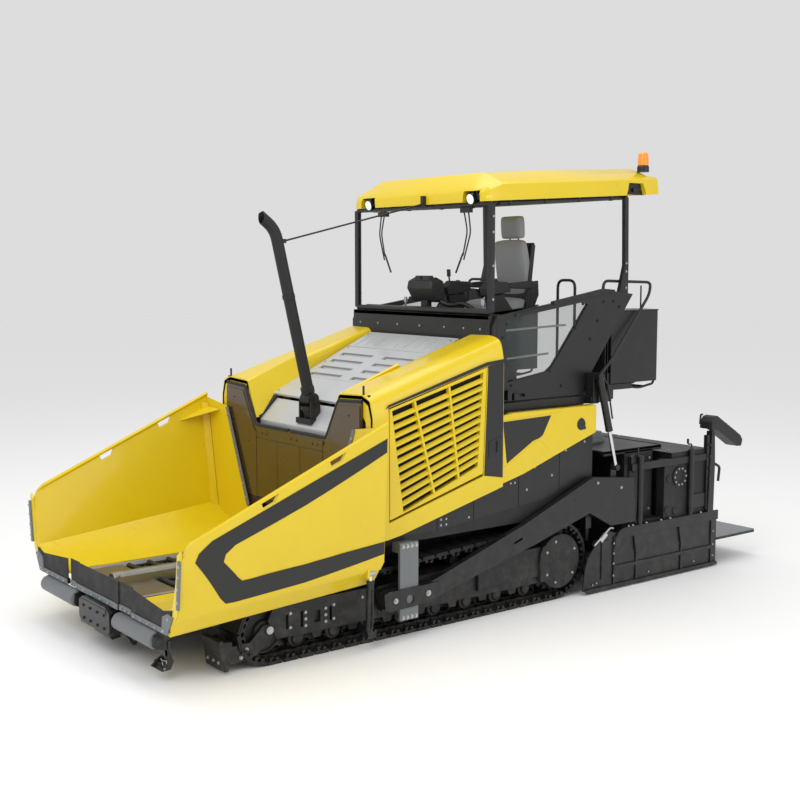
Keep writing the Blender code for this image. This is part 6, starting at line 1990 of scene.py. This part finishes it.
    def control(self, tag: str) -> None:
        """Build the control column and its tilted remote panel with keys."""
        column = [(2.70, 0.59), (2.79, 0.59), (2.80, 1.10), (2.785, 1.43), (2.74, 1.44), (2.72, 1.10)]
        shape = Shape().prism("x", column, 1.202, 1.275)
        shape.box((1.215, 1.262), (2.68, 2.72), (0.62, 1.40))
        for i in range(6):
            shape.rod((1.275, 2.715, 0.70 + i * 0.12), (1.279, 2.715, 0.70 + i * 0.12), 0.012, 12)
        piece_of(f"control_column_{tag}", shape.mirrored(self.side), BLACK, self.body, 4.0)
        box = [(2.715, 1.46), (2.72, 1.535), (2.76, 1.585), (2.81, 1.598), (3.20, 1.365), (3.238, 1.31),
            (3.215, 1.245), (3.15, 1.25), (2.80, 1.46)]
        panel = Shape().prism("x", box, 1.125, 1.288).rod((1.24, 2.77, 1.40), (1.24, 2.77, 1.48), 0.022, 16)
        piece_of(f"remote_panel_{tag}", panel.mirrored(self.side), PLASTIC, self.body, 12.0, steps=3)
        top = Shape()
        for (y0, z0), (y1, z1), finish_x in (((2.84, 1.584), (2.94, 1.524), (1.15, 1.26)),):
            top.loft([[(x, y0, z0), (x, y1, z1), (x, y1 + 0.003, z1 + 0.004),
                (x, y0 + 0.003, z0 + 0.004)] for x in finish_x])
        piece_of(f"remote_display_{tag}", top.mirrored(self.side), SCREEN, self.body, 0.8)
        keys = Shape()
        for i in range(4):
            for j in range(3):
                y = 2.99 + i * 0.05
                z = 1.496 - (y - 2.99) * 0.6
                keys.turned([(0, 0.012), (0.006, 0.012), (0.009, 0.009)], (1.16 + j * 0.045, y, z),
                    (1.16 + j * 0.045, y + 0.5, z + 0.86), 12)
        piece_of(f"remote_keys_{tag}", keys.mirrored(self.side), GREY, self.body, 0)
        grip = Shape().pipe([(1.13, 2.76, 1.60), (1.12, 2.74, 1.60), (1.12, 2.73, 1.50)], 0.010, 0.02, 10)
        grip.pipe([(1.255, 2.80, 1.10), (1.255, 2.90, 1.05), (1.255, 2.88, 0.90)], 0.014, 0.03, 10)
        piece_of(f"remote_grip_{tag}", grip.mirrored(self.side), RUBBER, self.body, 0)

    def walkway(self, tag: str) -> None:
        """Build the folding walkway with its tread, frame and brackets."""
        body = f"walkway_{tag}"
        tread = Shape().box((0.02, 1.23), (2.885, 3.555), (0.286, 0.2995))
        piece_of(f"walkway_tread_{tag}", tread.mirrored(self.side), BRIGHT_TREAD, body, 1.0, [f"walkway_{tag}"])
        frame_of = Shape()
        for y in (2.89, 3.53):
            frame_of.box((0.018, 1.233), (y, y + 0.025), (0.262, 0.288))
        for x in (0.02, 0.62, 1.208):
            frame_of.box((x, x + 0.025), (2.83, 3.55), (0.262, 0.288))
        frame_of.rod((0.016, 2.825, 0.285), (1.234, 2.825, 0.285), 0.0235, 20)
        frame_of.rod((0.03, 3.545, 0.285), (1.228, 3.545, 0.285), 0.014, 14)
        piece_of(f"walkway_frame_{tag}", frame_of.mirrored(self.side), BLACK, body, 1.5)
        clamps = Shape().prism("x", [(2.80, 0.20), (2.84, 0.20), (2.85, 0.26), (2.80, 0.26)], 1.18,
            1.24).rod((1.16, 2.86, 0.225), (1.25, 2.86, 0.225), 0.013, 14)
        piece_of(f"walkway_clamps_{tag}", clamps.mirrored(self.side), DUSTY, self.body, 1.5)


# ---- stage ----


@dataclass
class Stage:
    """Pale floor, soft studio light and the camera."""

    eye: Point = (9.2568, -7.4819, 3.1562)
    yaw: float = 142.4387
    pitch: float = 6.318
    lens_mm: float = 55.03

    def floor(self) -> None:
        """Lay the floor."""
        mesh = bpy.data.meshes.new("floor")
        half = 60.0
        mesh.from_pydata([(-half, -half, 0), (half, -half, 0), (half, half, 0), (-half, half, 0)], [],
            [(0, 1, 2, 3)])
        floor = bpy.data.objects.new("floor", mesh)
        bpy.context.scene.collection.objects.link(floor)
        paper = bpy.data.materials.new("studio_paper")
        paper.use_nodes = True
        tree = paper.node_tree
        shader = tree.nodes["Principled BSDF"]
        place = add_node(tree, "ShaderNodeTexCoord").outputs["Object"]
        cloud = add_node(tree, "ShaderNodeTexNoise", {"Scale": 0.4, "Detail": 4.0}, {"Vector": place})
        rough = add_node(tree, "ShaderNodeMapRange", {"To Min": 0.85, "To Max": 0.95},
            {"Value": cloud.outputs["Fac"]})
        tree.links.new(rough.outputs[0], shader.inputs["Roughness"])
        shader.inputs["Base Color"].default_value = linear("ffffff")
        shader.inputs["Specular IOR Level"].default_value = 0.1
        mesh.materials.append(paper)

    def light(self) -> None:
        """Hang a bright sky and three broad lamps."""
        world = bpy.data.worlds.new("studio")
        bpy.context.scene.world = world
        world.use_nodes = True
        back = world.node_tree.nodes["Background"]
        back.inputs["Color"].default_value = linear("ffffff")
        back.inputs["Strength"].default_value = 0.72
        lamps = (("key", (5.0, -9.0, 9.0), 7.0, 430.0), ("top", (-1.0, 0.0, 11.0), 8.0, 350.0),
            ("side", (11.0, 3.0, 5.0), 6.0, 150.0))
        for name, at, size, power in lamps:
            data = bpy.data.lights.new(name, "AREA")
            data.size, data.energy = size, power
            lamp = bpy.data.objects.new(name, data)
            lamp.location = at
            lamp.rotation_euler = (Vector((0, 0, 1)) - Vector(at)).to_track_quat("-Z", "Y").to_euler()
            bpy.context.scene.collection.objects.link(lamp)

    def camera(self) -> None:
        """Stand the camera where the machine's front left corner faces it."""
        data = bpy.data.cameras.new("camera")
        data.lens, data.sensor_width = self.lens_mm, 36.0
        data.dof.use_dof = False
        data.clip_end = 200.0
        camera = bpy.data.objects.new("camera", data)
        yaw, pitch = math.radians(self.yaw), math.radians(self.pitch)
        ahead = Vector((math.cos(pitch) * math.cos(yaw), math.cos(pitch) * math.sin(yaw), -math.sin(pitch)))
        camera.location = self.eye
        camera.rotation_euler = ahead.to_track_quat("-Z", "Y").to_euler()
        bpy.context.scene.collection.objects.link(camera)
        bpy.context.scene.camera = camera

    def build(self) -> None:
        """Set the whole stage."""
        self.floor()
        self.light()
        self.camera()


def main() -> None:
    """Build the paver's looks."""
    logging.basicConfig(level=logging.INFO, format="%(name)s: %(message)s")
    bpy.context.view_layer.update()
    Chassis().build()
    HopperFloor().build()
    PushBeam().build()
    Hood().build()
    Exhaust().build()
    Platform().build()
    Seat().build()
    Canopy().build()
    Screed().build()
    for side in Side:
        for assembly in (Track, HopperWing, Cowl, RearPanel, TowArm, Auger, Extension):
            assembly(side).build()
    Stage().build()
    bpy.context.scene.view_settings.view_transform = "Standard"


if __name__ == "__main__":
    main()
